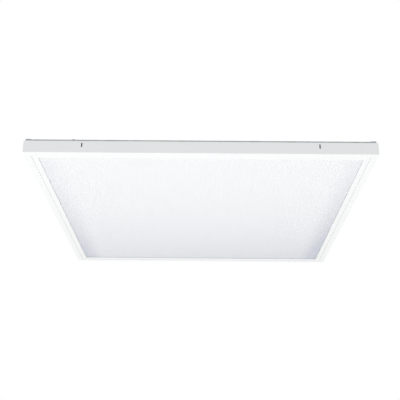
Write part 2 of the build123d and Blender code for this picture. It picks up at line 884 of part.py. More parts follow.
def earth_screw():
    """The earth screw and the ring terminal under its head."""
    spot = (earth_x, earth_y)
    ring_top = box_floor_top + ring_sheet
    head = round_bar("z", spot, earth_head_radius, ring_top, ring_top + earth_head_height)
    shank_end = frame_height - earth_screw_reach
    screw = head + round_bar("z", spot, earth_screw_radius, shank_end, ring_top)
    ring = round_bar("z", spot, ring_radius, box_floor_top, ring_top)
    ring -= round_bar("z", spot, earth_screw_radius, box_floor_top, ring_top)
    ring_edge = earth_x + ring_radius
    centre = (earth_y, crimp_z())
    outer = mains_lead_radius + crimp_wall
    barrel = round_bar("x", centre, outer, ring_edge - ring_sheet, ring_edge + crimp_length)
    ring += barrel - round_bar("z", spot, earth_head_radius, *about(crimp_z(), outer))
    ring -= round_bar("x", centre, mains_lead_radius, ring_edge, ring_edge + crimp_length)
    return [screw, ring]


# ---------------------------------------------------------------- grid clips and hanging


def clip_rivet(spot):
    """A shoulder rivet that a grid clip turns on, set under the back cover."""
    head_low = cover_top + grid_clip_sheet + clip_rivet_lift
    rivet = round_bar("z", spot, clip_rivet_radius, frame_height, head_low)
    rivet += round_bar("z", spot, clip_rivet_head, head_low, head_low + clip_rivet_head_height)
    tail_radius = clip_rivet_radius + rivet_tail_radius - rivet_radius
    return rivet + round_bar("z", spot, tail_radius, frame_height - rivet_tail_height, frame_height)


def grid_clip(spot):
    """A bent strap stowed towards the middle of its side, that swings out over the grid."""
    x, y = spot
    way = -1 if y > 0 else 1
    profile = outline(
        (0, cover_top),
        (grid_clip_base, cover_top),
        (grid_clip_base, grid_clip_top - grid_clip_sheet),
        (grid_clip_base + grid_clip_arm, grid_clip_top - grid_clip_sheet),
        (grid_clip_base + grid_clip_arm, grid_clip_top),
        (grid_clip_base - grid_clip_sheet, grid_clip_top),
        (grid_clip_base - grid_clip_sheet, cover_top + grid_clip_sheet),
        (0, cover_top + grid_clip_sheet),
    )
    strap = extrude(Plane.YZ.offset(-grid_clip_width / 2) * profile, grid_clip_width)
    base = (cover_top, cover_top + grid_clip_sheet)
    strap += round_bar("z", (0, 0), grid_clip_width / 2, *base)
    strap -= round_bar("z", (0, 0), clip_rivet_radius + clip_rivet_play, *base)
    return Pos(x, y) * Rot(0, 0, 0 if way > 0 else 180) * strap


def suspension_bracket(spot):
    """A bridge of strap on the back cover, with a hole for a hanging wire or hook."""
    inner = hang_inside / 2
    outer = inner + hang_sheet
    foot = outer + hang_foot
    foot_top = cover_top + hang_sheet
    bridge = cover_top + hang_height
    profile = outline(
        (-foot, cover_top),
        (-inner, cover_top),
        (-inner, bridge),
        (inner, bridge),
        (inner, cover_top),
        (foot, cover_top),
        (foot, foot_top),
        (outer, foot_top),
        (outer, bridge + hang_sheet),
        (-outer, bridge + hang_sheet),
        (-outer, foot_top),
        (-foot, foot_top),
    )
    strap = extrude(Plane.XZ.offset(-hang_width / 2) * profile, hang_width)
    strap -= round_bar("z", (0, 0), hang_hole, bridge - cut_over, bridge + hang_sheet + cut_over)
    return Pos(*spot) * strap


# ---------------------------------------------------------------- hinges and catches of the door


def slot_bracket(arm_to, width):
    """A bracket on the rear wall: a flange, a tab in the rail slot, and an arm inwards at the top."""
    inside = (wall_inside - bracket_sheet, wall_inside)
    shape = block(span(bracket_width / 2), inside, (bracket_low, slot_high - bracket_top_gap))
    tab = (slot_low + slot_tab_end_gap, slot_high - slot_tab_end_gap)
    shape += block(span(slot_width / 2 - slot_tab_gap), (wall_inside, half_side), tab)
    return shape + block(span(width / 2), (arm_to, wall_inside), (arm_low, arm_high))


def hinge_bracket():
    """The fixed half of a door hinge: a strap comes down from the arm to the middle knuckle."""
    width = span(arm_width / 2)
    strap = about(pivot_y, bracket_sheet / 2)
    shape = slot_bracket(strap[0], arm_width) + block(width, strap, (pivot_z, arm_high))
    shape += round_bar("x", (pivot_y, pivot_z), knuckle_radius, *width)
    return shape - round_bar("x", (pivot_y, pivot_z), pin_radius + pin_play, *width)


def hinge_leaf():
    """The door's half of a hinge: a foot on the rear rail and two knuckles that hold the pin."""
    inner = arm_width / 2 + knuckle_end_gap
    outer = inner + outer_knuckle
    foot_top = door_sheet + leaf_sheet
    foot_rear = door_inside - (door_bend - door_sheet)
    leaf = block(span(outer), (pivot_y - knuckle_radius, foot_rear), (door_sheet, foot_top))
    for width in ((-outer, -inner), (inner, outer)):
        leaf += block(width, about(pivot_y, knuckle_radius), (door_sheet, pivot_z))
        leaf += round_bar("x", (pivot_y, pivot_z), knuckle_radius, *width)
    return leaf - round_bar("x", (pivot_y, pivot_z), pin_radius, *span(outer))


def hinge_pin():
    half = arm_width / 2 + knuckle_end_gap + outer_knuckle
    return round_bar("x", (pivot_y, pivot_z), pin_radius, *span(half))


def catch_magnet():
    depth = (magnet_edge - magnet_width, magnet_edge)
    return block(span(magnet_length / 2), depth, (magnet_low, arm_low))


def door_strike():
    """A steel angle on the door's upstand that meets the magnet."""
    width = span(strike_width / 2)
    top = door_height - bracket_gap
    reach = magnet_edge - magnet_width - bracket_gap
    upright = block(width, (door_inside - strike_sheet, door_inside), (strike_low, top))
    return upright + block(width, (reach, door_inside), (strike_low, strike_low + strike_sheet))


def on_slots(shape):
    return [Pos(x) * shape for x in span(slot_x)]


# ---------------------------------------------------------------- lens door


def door_rail(notched):
    """The rear door rail: a hem that carries the lens, a flat face, and an upstand."""
    hem_edge = aperture_half + hem_width
    strip = side_of_square(
        outline(
            (aperture_half, 0, hem_bend),
            (door_half, 0, door_bend),
            (door_half, door_height),
            (door_inside, door_height),
            (door_inside, door_sheet, door_bend - door_sheet),
            (hem_edge, door_sheet),
            (hem_edge, lens_low),
            (aperture_half, lens_low, hem_bend),
        ),
        half_side,
    )
    for x in span(slot_x) if notched else ():
        upstand = (door_inside - cut_over, door_half + cut_over)
        strip -= block(about(x, hinge_notch / 2), upstand, (notch_low, door_height + cut_over))
    return strip


def door_corner_key():
    height = (film_top + key_gap, door_height - bracket_gap)
    leg = (door_inside - key_leg, door_inside)
    bar = (door_inside - key_sheet, door_inside)
    return block(leg, bar, height) + block(bar, leg, height)


def door_sheet_block(low, high):
    """A flat sheet that fills the door frame, cut short at the hinges."""
    return block(span(lens_half), (-lens_half, lens_rear), (low, high))


def lens_clip():
    """A leaf on the rear upstand whose foot holds the film and the lens down."""
    inner = door_inside - clip_reach
    upright = block(
        span(clip_width / 2),
        (door_inside - clip_sheet, door_inside),
        (film_top, film_top + clip_height),
    )
    return upright + block(span(clip_width / 2), (inner, door_inside), (film_top, film_top + clip_sheet))


# ---------------------------------------------------------------- the whole light

for side in SIDES:
    on_slotted_side = side in ("rear", "front")
    write(f"rail_{side}", around(frame_rail(on_slotted_side), [side])[0])
    write(f"door_rail_{side}", around(door_rail(side == "rear"), [side])[0])
write("corner_brackets", group(around(corner_bracket())))
write("back_cover", back_cover())
write("back_cover_screws", group([pan_screw(spot) for spot in cover_screw_spots]))
write("blind_rivets", group(blind_rivets()))

write("reflector", group(around(reflector_side())))
for number, row in enumerate(board_rows, start=1):
    write(f"led_board_{number}", led_board(row))
write("led_chips", group(on_each_chip_place(led_chip())))
write("led_optics", group(on_each_chip_place(led_optic())))
write("board_connectors", group([connector(row) for row in board_rows]))
write("dc_leads_red", group(dc_leads(lead_offset, -1)))
write("dc_leads_black", group(dc_leads(-lead_offset, 1)))
write("lead_grommet", lead_grommet())

write("gear_box_tray", gear_box_tray())
write("gear_box_cover", gear_box_cover())
write("cover_hinge_pins", group([cover_hinge_pin(x) for x in span(lid_hinge_x)]))
write("cover_screw", cover_screw())
write("driver_case", driver_case())
write("driver_lid", driver_lid())
write("driver_board", driver_board())
write("driver_components", group(driver_components()))
write("terminal_block", terminal_block())
for number, row in enumerate(pole_rows, start=1):
    write(f"terminal_lever_{number}", terminal_lever(row))
write("cable_gland_body", cable_gland_body())
write("gland_dome_nut", gland_dome_nut())
write("gland_locknut", gland_locknut())
write("live_lead", mains_lead(pole_rows[0]))
write("neutral_lead", mains_lead(pole_rows[1]))
write("earth_lead", earth_lead())
write("earth_screw", group(earth_screw()))

for number, spot in enumerate(grid_clip_spots, start=1):
    write(f"grid_clip_{number}", grid_clip(spot))
write("grid_clip_rivets", group([clip_rivet(spot) for spot in grid_clip_spots]))
write("suspension_brackets", group([suspension_bracket(spot) for spot in hang_spots]))

write("hinge_brackets", group(on_slots(hinge_bracket())))
write("hinge_leaves", group(on_slots(hinge_leaf())))
write("hinge_pins", group(on_slots(hinge_pin())))
catch_turn = Rot(0, 0, SIDES["front"])
write("catch_brackets", catch_turn * group(on_slots(slot_bracket(arm_end, magnet_length))))
write("catch_magnets", catch_turn * group(on_slots(catch_magnet())))
write("door_strikes", catch_turn * group(on_slots(door_strike())))

write("door_corner_keys", group(around(door_corner_key())))
write("lens", door_sheet_block(lens_low, film_low))
write("diffuser_film", door_sheet_block(film_low, film_top))
write("lens_clips", group([clip for x in span(clip_place) for clip in around(Pos(x) * lens_clip())]))
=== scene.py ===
import json
import math

import bmesh
import bpy
from mathutils import Matrix, Vector

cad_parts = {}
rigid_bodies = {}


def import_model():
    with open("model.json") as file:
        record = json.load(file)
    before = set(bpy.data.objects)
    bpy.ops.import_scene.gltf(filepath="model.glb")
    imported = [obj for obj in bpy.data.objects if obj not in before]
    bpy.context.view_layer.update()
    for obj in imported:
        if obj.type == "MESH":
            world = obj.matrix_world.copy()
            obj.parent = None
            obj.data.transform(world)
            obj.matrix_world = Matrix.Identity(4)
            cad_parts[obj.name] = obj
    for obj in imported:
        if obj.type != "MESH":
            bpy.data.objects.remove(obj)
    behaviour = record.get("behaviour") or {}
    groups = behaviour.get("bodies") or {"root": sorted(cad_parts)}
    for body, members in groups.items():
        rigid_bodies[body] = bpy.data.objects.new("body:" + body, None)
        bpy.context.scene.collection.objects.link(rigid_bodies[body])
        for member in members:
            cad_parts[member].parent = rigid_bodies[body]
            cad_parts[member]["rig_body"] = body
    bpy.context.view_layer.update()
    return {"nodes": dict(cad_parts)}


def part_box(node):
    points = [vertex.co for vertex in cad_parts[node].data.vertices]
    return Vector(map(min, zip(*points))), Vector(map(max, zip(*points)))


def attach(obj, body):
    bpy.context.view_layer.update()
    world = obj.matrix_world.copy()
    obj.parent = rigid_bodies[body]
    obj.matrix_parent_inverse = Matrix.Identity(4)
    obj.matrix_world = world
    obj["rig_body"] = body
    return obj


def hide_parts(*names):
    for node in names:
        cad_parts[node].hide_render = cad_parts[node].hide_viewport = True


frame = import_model()
nodes = frame["nodes"]
scene = bpy.context.scene

# Sizes below are in millimetres. Blender's unit is the metre.
MM = 0.001

# ---- The view
# The light hangs level, as in a ceiling. The camera looks up at it from the front, and its
# place was solved from the corners of the lower face in a 400 pixel wide picture.
PICTURE_PIXELS = 400
FOCAL_PIXELS = 716.45
SENSOR = 36.0
CAMERA_PLACE = (4.807, -1371.626, -526.086)
CAMERA_PITCH = 22.388
CAMERA_YAW = 0.280
CAMERA_ROLL = 0.545

camera_data = bpy.data.cameras.new("camera")
camera_data.sensor_width = SENSOR
camera_data.lens = SENSOR * FOCAL_PIXELS / PICTURE_PIXELS
camera = bpy.data.objects.new("camera", camera_data)
scene.collection.objects.link(camera)
scene.camera = camera
camera.matrix_world = (
    Matrix.Translation(Vector(CAMERA_PLACE) * MM)
    @ Matrix.Rotation(math.radians(CAMERA_YAW), 4, "Z")
    @ Matrix.Rotation(math.radians(90 + CAMERA_PITCH), 4, "X")
    @ Matrix.Rotation(math.radians(CAMERA_ROLL), 4, "Z")
)
scene.view_settings.view_transform = "Standard"


# ---- The studio
# A white room with a pale floor as far below the light as a real floor is. One broad soft
# lamp stands below and in front, and a second one hangs above and behind.
FLOOR_DROP = 2400
FLOOR_SIDE = 9000
ROOM_LIGHT = 0.70
KEY_PLACE = (-150, -800, -1700)
KEY_SIDE = 2000
KEY_WATTS = 18.5
FILL_PLACE = (500, 900, 1700)
FILL_SIDE = 2000
FILL_WATTS = 30


def linear(colour):
    """An sRGB hex value as linear red, green, blue and alpha."""
    parts = [int(colour[place:place + 2], 16) / 255 for place in (0, 2, 4)]
    return [part / 12.92 if part <= 0.04045 else ((part + 0.055) / 1.055) ** 2.4 for part in parts] + [1.0]


def add_node(tree, kind, inputs=None, **settings):
    """Adds one shader node. An input is a value or another node's output."""
    node = tree.nodes.new(kind)
    for name, value in settings.items():
        setattr(node, name, value)
    for name, value in (inputs or {}).items():
        if isinstance(value, bpy.types.NodeSocket):
            tree.links.new(value, node.inputs[name])
        else:
            node.inputs[name].default_value = value
    return node


def new_material(name, sockets):
    """A material with one Principled shader that holds these socket values."""
    material = bpy.data.materials.new(name)
    material.use_nodes = True
    shader = material.node_tree.nodes["Principled BSDF"]
    for socket, value in sockets.items():
        shader.inputs[socket].default_value = value
    return material, material.node_tree, shader


def add_lamp(name, place, side, watts):
    """A square soft lamp that faces the light and can't be seen itself."""
    data = bpy.data.lights.new(name, "AREA")
    data.size = side * MM
    data.energy = watts
    lamp = bpy.data.objects.new(name, data)
    scene.collection.objects.link(lamp)
    turn = Vector(place).to_track_quat("Z", "Y").to_matrix().to_4x4()
    lamp.matrix_world = Matrix.Translation(Vector(place) * MM) @ turn
    lamp.visible_camera = False
    lamp.visible_glossy = False


world = bpy.data.worlds.new("white_room")
scene.world = world
world.use_nodes = True
tree = world.node_tree
tree.nodes.clear()
path = add_node(tree, "ShaderNodeLightPath")
seen = path.outputs["Is Camera Ray"]
for ray in ("Is Glossy Ray", "Is Transmission Ray"):
    both = {0: seen, 1: path.outputs[ray]}
    seen = add_node(tree, "ShaderNodeMath", both, operation="MAXIMUM").outputs[0]
room = add_node(tree, "ShaderNodeBackground", {"Color": linear("FAFBFD"), "Strength": ROOM_LIGHT})
backdrop = add_node(tree, "ShaderNodeBackground", {"Color": linear("FFFFFF"), "Strength": 1.0})
mixed = add_node(tree, "ShaderNodeMixShader", {0: seen, 1: room.outputs[0], 2: backdrop.outputs[0]})
add_node(tree, "ShaderNodeOutputWorld", {"Surface": mixed.outputs[0]})
add_lamp("key_lamp", KEY_PLACE, KEY_SIDE, KEY_WATTS)
add_lamp("fill_lamp", FILL_PLACE, FILL_SIDE, FILL_WATTS)

floor_mesh = bpy.data.meshes.new("floor")
floor_shape = bmesh.new()
bmesh.ops.create_grid(floor_shape, x_segments=1, y_segments=1, size=FLOOR_SIDE / 2 * MM)
bmesh.ops.translate(floor_shape, vec=(0, 0, -FLOOR_DROP * MM), verts=floor_shape.verts)
floor_shape.to_mesh(floor_mesh)
floor_shape.free()
floor = bpy.data.objects.new("floor", floor_mesh)
scene.collection.objects.link(floor)
floor_paint = new_material("pale_floor_paint", {"Base Color": linear("F2F2F1"), "Roughness": 0.9})[0]
floor_mesh.materials.append(floor_paint)


# ---- Frame rails
# Four rails of 0.7 mm steel strip, roll folded to a C, mitred and powder coated white. The
# coat is a matt polyester whose fine orange peel only shows in a grazing light.
SHEET = 0.7
COAT_WHITE = "F8F8F7"
COAT_SHADE = "F5F6F6"
COAT_PEEL = 1.6
COAT_RELIEF = 0.004
COAT_GLOSS = (0.42, 0.52)
SIDES = ("front", "rear", "left", "right")


def add_finish(tree, shader, pale, dark, grain, relief, gloss):
    """The relief, the mottling and the uneven gloss of a finish. Grain and relief are in mm."""
    place = add_node(tree, "ShaderNodeTexCoord").outputs["Object"]
    fine = add_node(tree, "ShaderNodeTexNoise", {"Vector": place, "Scale": 1 / (grain * MM), "Detail": 2.0})
    bump = add_node(tree, "ShaderNodeBump", {"Height": fine.outputs[0], "Distance": relief * MM})
    tree.links.new(bump.outputs[0], shader.inputs["Normal"])
    broad = add_node(tree, "ShaderNodeTexNoise", {"Vector": place, "Scale": 1 / (25 * grain * MM)})
    colour = add_node(
        tree, "ShaderNodeMix", {0: broad.outputs[0], 6: linear(pale), 7: linear(dark)}, data_type="RGBA"
    )
    tree.links.new(colour.outputs[2], shader.inputs["Base Color"])
    rough = add_node(
        tree, "ShaderNodeMapRange", {"Value": broad.outputs[0], "To Min": gloss[0], "To Max": gloss[1]}
    )
    tree.links.new(rough.outputs[0], shader.inputs["Roughness"])
    return place, colour.outputs[2]


def finish(name, pale, dark, grain, relief, gloss, **sockets):
    """A material that has such a finish and nothing else."""
    material, tree, shader = new_material(name, sockets)
    add_finish(tree, shader, pale, dark, grain, relief, gloss)
    return material


def dress(material, *names):
    """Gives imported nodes, whose shape is right as it is, their material."""
    for name in names:
        nodes[name].data.materials.clear()
        nodes[name].data.materials.append(material)


powder_coat = finish("powder_coated_steel", COAT_WHITE, COAT_SHADE, COAT_PEEL, COAT_RELIEF, COAT_GLOSS)
dress(powder_coat, *[f"rail_{side}" for side in SIDES])


# ---- Brackets and clips
# Steel strip, stamped and folded, then electroplated. Bright zinc is a cloudy blue grey with
# a satin gloss. The corner brackets are welded in, the others hook in or are riveted.
zinc_plate = finish("zinc_plated_steel", "C9CED2", "B3B9BE", 0.8, 0.002, (0.28, 0.42), Metallic=1.0)
dress(zinc_plate, "corner_brackets", "door_corner_keys", "door_strikes", "hinge_leaves")
dress(zinc_plate, "suspension_brackets", *[f"grid_clip_{number}" for number in range(1, 5)])

# The brackets behind the two slots of the rails have black passivated zinc, a dark finish put there as
# painted shade, so that the tabs in the slots show as the dark marks of the shade inside the slots.
slot_shade_black_zinc = finish("black_zinc_for_painted_slot_shade", "333436", "262729", 0.8, 0.002, (0.4, 0.55), Metallic=0.6)
dress(slot_shade_black_zinc, "hinge_brackets", "catch_brackets")


# ---- Back cover and gear box
# Hot dip galvanised sheet, 0.7 mm: flat zinc crystals 10 to 15 mm across, each of its own
# grey. The cover's lower face is coil coated white, because it closes the lit chamber.
SPANGLE = 12
ZINC_PALE = "B9BDC0"
ZINC_DARK = "9CA1A5"


def galvanised(name, coated_below):
    """Galvanised sheet, with or without a white coil coat on its lower face."""
    material, tree, shader = new_material(name, {"Metallic": 1.0})
    place, colour = add_finish(tree, shader, ZINC_PALE, ZINC_DARK, 1.2, 0.002, (0.3, 0.5))
    cells = add_node(tree, "ShaderNodeTexVoronoi", {"Vector": place, "Scale": 1 / (SPANGLE * MM)})
    cell = add_node(tree, "ShaderNodeSeparateColor", {"Color": cells.outputs["Color"]})
    crystal = add_node(
        tree, "ShaderNodeMix", {0: cell.outputs[0], 6: colour, 7: linear(ZINC_DARK)}, data_type="RGBA"
    )
    gloss = add_node(tree, "ShaderNodeMapRange", {"Value": cell.outputs[1], "To Min": 0.34, "To Max": 0.6})
    tree.links.new(gloss.outputs[0], shader.inputs["Roughness"])
    if not coated_below:
        tree.links.new(crystal.outputs[2], shader.inputs["Base Color"])
        return material
    normal = add_node(tree, "ShaderNodeNewGeometry").outputs["Normal"]
    upward = add_node(tree, "ShaderNodeSeparateXYZ", {"Vector": normal}).outputs["Z"]
    bare = add_node(tree, "ShaderNodeMath", {0: upward, 1: -0.5}, operation="GREATER_THAN").outputs[0]
    face = add_node(
        tree, "ShaderNodeMix", {0: bare, 6: linear(COAT_WHITE), 7: crystal.outputs[2]}, data_type="RGBA"
    )
    tree.links.new(face.outputs[2], shader.inputs["Base Color"])
    tree.links.new(bare, shader.inputs["Metallic"])
    return material


dress(galvanised("galvanised_steel_coated_inside", True), "back_cover")
dress(galvanised("galvanised_steel", False), "gear_box_tray", "gear_box_cover")


# ---- Back cover screws
# Twenty four M3 pan head screws with a cross recess, formed cold and zinc plated. They hold
# the cover down on the returns of the rails.
PAN_RADIUS = 3.0
PAN_HEIGHT = 2.0
PAN_ROUND = 0.9
CROSS_CELLS = 7
CROSS_GRID = 0.47
CROSS_DEPTH = 1.1
CROSS_TAPER = 0.7
THREAD_RADIUS = 1.5
THREAD_PITCH = 0.5
THREAD_DEPTH = 0.25
THREAD_LENGTH = 5.2
SCREW_INSET = 8
SCREW_MIDDLE = 75
SCREW_TAB_INSET = 83
SCREW_END_INSET = 20.5
SCREW_TURN = 37
SMOOTH_ANGLE = 35


def finish_piece(bm, name, materials, body, slot, *replaced):
    """Turns a shape in mm into a piece in metres, on its body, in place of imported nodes."""
    bmesh.ops.scale(bm, vec=(MM, MM, MM), verts=bm.verts)
    mesh = bpy.data.meshes.new(name)
    bm.to_mesh(mesh)
    bm.free()
    for material in materials:
        mesh.materials.append(material)
    mesh.shade_smooth()
    mesh.set_sharp_from_angle(angle=math.radians(SMOOTH_ANGLE))
    piece = bpy.data.objects.new(name, mesh)
    scene.collection.objects.link(piece)
    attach(piece, body)
    if replaced:
        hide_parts(*replaced)
    return piece


def turned(profile, steps):
    """A solid turned about Z from a profile of (radius, height)."""
    bm = bmesh.new()
    ring = [bm.verts.new((radius, 0, height)) for radius, height in profile]
    line = [bm.edges.new(pair) for pair in zip(ring, ring[1:])]
    bmesh.ops.spin(
        bm, geom=ring + line, cent=(0, 0, 0), axis=(0, 0, 1), angle=math.tau, steps=steps, use_merge=True
    )
    bmesh.ops.remove_doubles(bm, verts=bm.verts, dist=1e-4)
    bmesh.ops.recalc_face_normals(bm, faces=bm.faces)
    return bm


def grow(bm, loop, radius, height):
    """Draws a loop of edges out into a ring of that radius and height, and gives the new loop."""
    grown = bmesh.ops.extrude_edge_only(bm, edges=loop)["geom"]
    for part in grown:
        if isinstance(part, bmesh.types.BMVert):
            part.co.xy = radius * part.co.xy.normalized()
            part.co.z = height
    return [part for part in grown if isinstance(part, bmesh.types.BMEdge)]


def cross_screw(head_radius, head_height, shank_radius, shank_length):
    """A pan head screw that points down from its seat at zero, with a cross recess and a thread."""
    bm = bmesh.new()
    grid_half = CROSS_GRID * head_radius
    bmesh.ops.create_grid(bm, x_segments=CROSS_CELLS, y_segments=CROSS_CELLS, size=grid_half)
    cell = 2 * grid_half / CROSS_CELLS
    cross = []
    for face in bm.faces:
        across = sorted(abs(value) for value in face.calc_center_median().xy)
        if across[0] < cell / 2 and across[1] < 2.5 * cell:
            cross.append(face)
    rim = [edge for edge in bm.edges if edge.is_boundary]
    sunk = bmesh.ops.extrude_face_region(bm, geom=cross)["geom"]
    bmesh.ops.delete(bm, geom=cross, context="FACES")
    recess = [part for part in sunk if isinstance(part, bmesh.types.BMVert)]
    bmesh.ops.translate(bm, vec=(0, 0, -CROSS_DEPTH), verts=recess)
    bmesh.ops.scale(bm, vec=(CROSS_TAPER, CROSS_TAPER, 1), verts=recess)
    bmesh.ops.translate(bm, vec=(0, 0, head_height), verts=bm.verts)
    loop = grow(bm, rim, head_radius - PAN_ROUND, head_height)
    loop = grow(bm, loop, head_radius - 0.3 * PAN_ROUND, head_height - 0.3 * PAN_ROUND)
    loop = grow(bm, loop, head_radius, head_height - PAN_ROUND)
    loop = grow(bm, loop, head_radius, 0)
    loop = grow(bm, loop, shank_radius, 0)
    for turn in range(int(shank_length / THREAD_PITCH)):
        loop = grow(bm, loop, shank_radius - THREAD_DEPTH, -(turn + 0.5) * THREAD_PITCH)
        loop = grow(bm, loop, shank_radius, -(turn + 0.9) * THREAD_PITCH)
    loop = grow(bm, loop, shank_radius - THREAD_DEPTH, -shank_length)
    bmesh.ops.edgeloop_fill(bm, edges=loop)
    bmesh.ops.recalc_face_normals(bm, faces=bm.faces)
    return bm


def joined(shapes):
    """Several shapes as one. The shapes themselves are used up."""
    whole = bmesh.new()
    for shape in shapes:
        pattern = bpy.data.meshes.new("pattern")
        shape.to_mesh(pattern)
        shape.free()
        whole.from_mesh(pattern)
        bpy.data.meshes.remove(pattern)
    return whole


def repeated(shape, places):
    """One shape, once at each place. The shape itself is used up."""
    copies = []
    for place in places:
        copies.append(shape.copy())
        bmesh.ops.transform(copies[-1], matrix=place, verts=copies[-1].verts)
    shape.free()
    return joined(copies)


def at(x, y, z, turn=0.0, tilt=0.0):
    """A place in mm, turned about Z and first tilted about X, in degrees."""
    turning = Matrix.Rotation(math.radians(turn), 4, "Z") @ Matrix.Rotation(math.radians(tilt), 4, "X")
    return Matrix.Translation((x, y, z)) @ turning


def mirrored(*places):
    """Each (x, y) with all four pairs of signs."""
    return [(a * x, b * y) for x, y in places for a in (-1, 1) for b in (-1, 1)]


half_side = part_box("rail_right")[1].x / MM
cover_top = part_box("gear_box_tray")[0].z / MM
screw_line = half_side - SCREW_INSET
screw_rows = (SCREW_MIDDLE, half_side - SCREW_TAB_INSET, half_side - SCREW_END_INSET)
quarter = [(row, screw_line) for row in screw_rows] + [(screw_line, row) for row in screw_rows]
screw_places = [
    at(x, y, cover_top, SCREW_TURN * number) for number, (x, y) in enumerate(mirrored(*quarter))
]

# Bright zinc on cold formed steel is smooth and nearly mirror like, with a faint blue grey.
fastener_steel = finish("bright_zinc_fastener", "D2D5D8", "BEC2C6", 0.5, 0.001, (0.2, 0.3), Metallic=1.0)
screws = repeated(cross_screw(PAN_RADIUS, PAN_HEIGHT, THREAD_RADIUS, THREAD_LENGTH), screw_places)
finish_piece(screws, "pan_head_screws", [fastener_steel], "housing", "fastener_steel", "back_cover_screws")


# ---- Blind rivets
# Aluminium rivets with domed heads, each pulled tight by a steel mandrel that snaps off in
# its middle. They hold the boards, the reflector, the gear box and the driver.
RIVET_HEAD = 3.2
RIVET_HEAD_HEIGHT = 1.2
RIVET_SHANK = 1.6
RIVET_TAIL = 2.4
RIVET_TAIL_HEIGHT = 1.2
BOARD_RIVET_X = 165
REFLECTOR_SHEET = 0.5
REFLECTOR_RIVETS = (120, 232)
BOX_WIDTH = 84
BOX_RIVET_INSET_X = 12
BOX_RIVET_INSET_Y = 6.5
EAR_HEIGHT = 2.5
EAR_MIDDLE = 5.5


def set_rivet(grip):
    """A rivet with the seat of its head at zero and its grip below that."""
    return turned(
        [
            (0, -grip - RIVET_TAIL_HEIGHT),
            (0.6 * RIVET_TAIL, -grip - RIVET_TAIL_HEIGHT),
            (RIVET_TAIL, -grip - 0.6 * RIVET_TAIL_HEIGHT),
            (RIVET_TAIL, -grip - 0.2 * RIVET_TAIL_HEIGHT),
            (RIVET_SHANK, -grip),
            (RIVET_SHANK, 0),
            (RIVET_HEAD, 0),
            (0.94 * RIVET_HEAD, 0.45 * RIVET_HEAD_HEIGHT),
            (0.75 * RIVET_HEAD, 0.8 * RIVET_HEAD_HEIGHT),
            (0.5 * RIVET_HEAD, RIVET_HEAD_HEIGHT),
            (0.32 * RIVET_HEAD, 0.96 * RIVET_HEAD_HEIGHT),
            (0.28 * RIVET_HEAD, 0.6 * RIVET_HEAD_HEIGHT),
            (0, 0.55 * RIVET_HEAD_HEIGHT),
        ],
        steps=18,
    )


board_boxes = [[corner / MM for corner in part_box(f"led_board_{number}")] for number in range(1, 7)]
board_rows = [(low.y + high.y) / 2 for low, high in board_boxes]
board_low = board_boxes[0][0].z
board_top = board_boxes[0][1].z
reflector_low = board_top - REFLECTOR_SHEET
reflector_spots = mirrored(REFLECTOR_RIVETS, REFLECTOR_RIVETS[::-1])
box_low, box_high = (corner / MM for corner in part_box("gear_box_tray"))
box_rear = box_low.y + BOX_WIDTH
box_middle = (box_low.y + box_rear) / 2
box_floor = cover_top + SHEET
box_rivet_x = box_high.x - BOX_RIVET_INSET_X
box_rivet_rows = (box_low.y + BOX_RIVET_INSET_Y, box_rear - BOX_RIVET_INSET_Y)
case_low, case_high = (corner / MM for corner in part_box("driver_case"))
ear_top = box_floor + EAR_HEIGHT
ear_spots = (case_low.x + EAR_MIDDLE, case_high.x - EAR_MIDDLE)
rivet_kinds = [
    (board_low, [(x, y) for x in (-BOARD_RIVET_X, BOARD_RIVET_X) for y in board_rows]),
    (reflector_low, reflector_spots),
    (box_floor, [(x, y) for x in (-box_rivet_x, box_rivet_x) for y in box_rivet_rows]),
    (ear_top, [(x, box_middle) for x in ear_spots]),
]
rivets = []
for seat, spots in rivet_kinds:
    from_below = seat < cover_top
    grip = cover_top - seat if from_below else seat - board_top
    tilt = 180 if from_below else 0
    rivets.append(repeated(set_rivet(grip), [at(x, y, seat, tilt=tilt) for x, y in spots]))

# Plain aluminium is pale and satin, without the blue of zinc.
rivet_aluminium = finish("plain_aluminium", "D8D9DA", "C6C8CA", 0.6, 0.002, (0.3, 0.42), Metallic=1.0)
finish_piece(
    joined(rivets), "set_blind_rivets", [rivet_aluminium], "housing", "rivet_aluminium", "blind_rivets"
)


# ---- Reflector
# Four sheets of pre-coated steel, folded along one edge. The coat is a high reflectance
# white, quite matt, so that it shows no image of the chips.
dress(finish("reflector_white_coat", "FBFBF9", "F7F8F7", 0.9, 0.002, (0.6, 0.7)), "reflector")


# ---- LED boards
# Aluminium cored boards, 440 by 20 mm, under a glossy white solder mask. Two copper traces
# run the length of each and show through the mask as creamier bands.
TRACE_OFFSET = 5.0
TRACE_HALF = 1.1
board_pitch = board_rows[1] - board_rows[0]
board_mask, tree, shader = new_material("white_solder_mask", {})
place, colour = add_finish(tree, shader, "F6F7F5", "F0F2EF", 0.5, 0.002, (0.25, 0.35))
across = add_node(tree, "ShaderNodeSeparateXYZ", {"Vector": place}).outputs["Y"]
from_row = add_node(tree, "ShaderNodeMath", {0: across, 1: -board_rows[0] * MM}, operation="ADD").outputs[0]
from_row = add_node(
    tree, "ShaderNodeMath", {0: from_row, 1: board_pitch / 2 * MM}, operation="PINGPONG"
).outputs[0]
trace = add_node(
    tree, "ShaderNodeMath", {0: from_row, 1: TRACE_OFFSET * MM, 2: TRACE_HALF * MM}, operation="COMPARE"
).outputs[0]
mask = add_node(tree, "ShaderNodeMix", {0: trace, 6: colour, 7: linear("E6E4D8")}, data_type="RGBA")
tree.links.new(mask.outputs[2], shader.inputs["Base Color"])
dress(board_mask, *[f"led_board_{number}" for number in range(1, 7)])


# ---- LED chips
# Mid power chips, 3 mm square: a white moulded cup on the board, filled with yellow phosphor
# gel that is slightly sunk and glossy.
CHIP_COUNT = 12
CHIP_END_INSET = 38.5
CHIP_HALF = 1.5
CHIP_HEIGHT = 0.7
CUP_WALL = 0.35
CUP_CHAMFER = 0.35
GEL_DROP = 0.12
GEL_SLOPE = 0.05


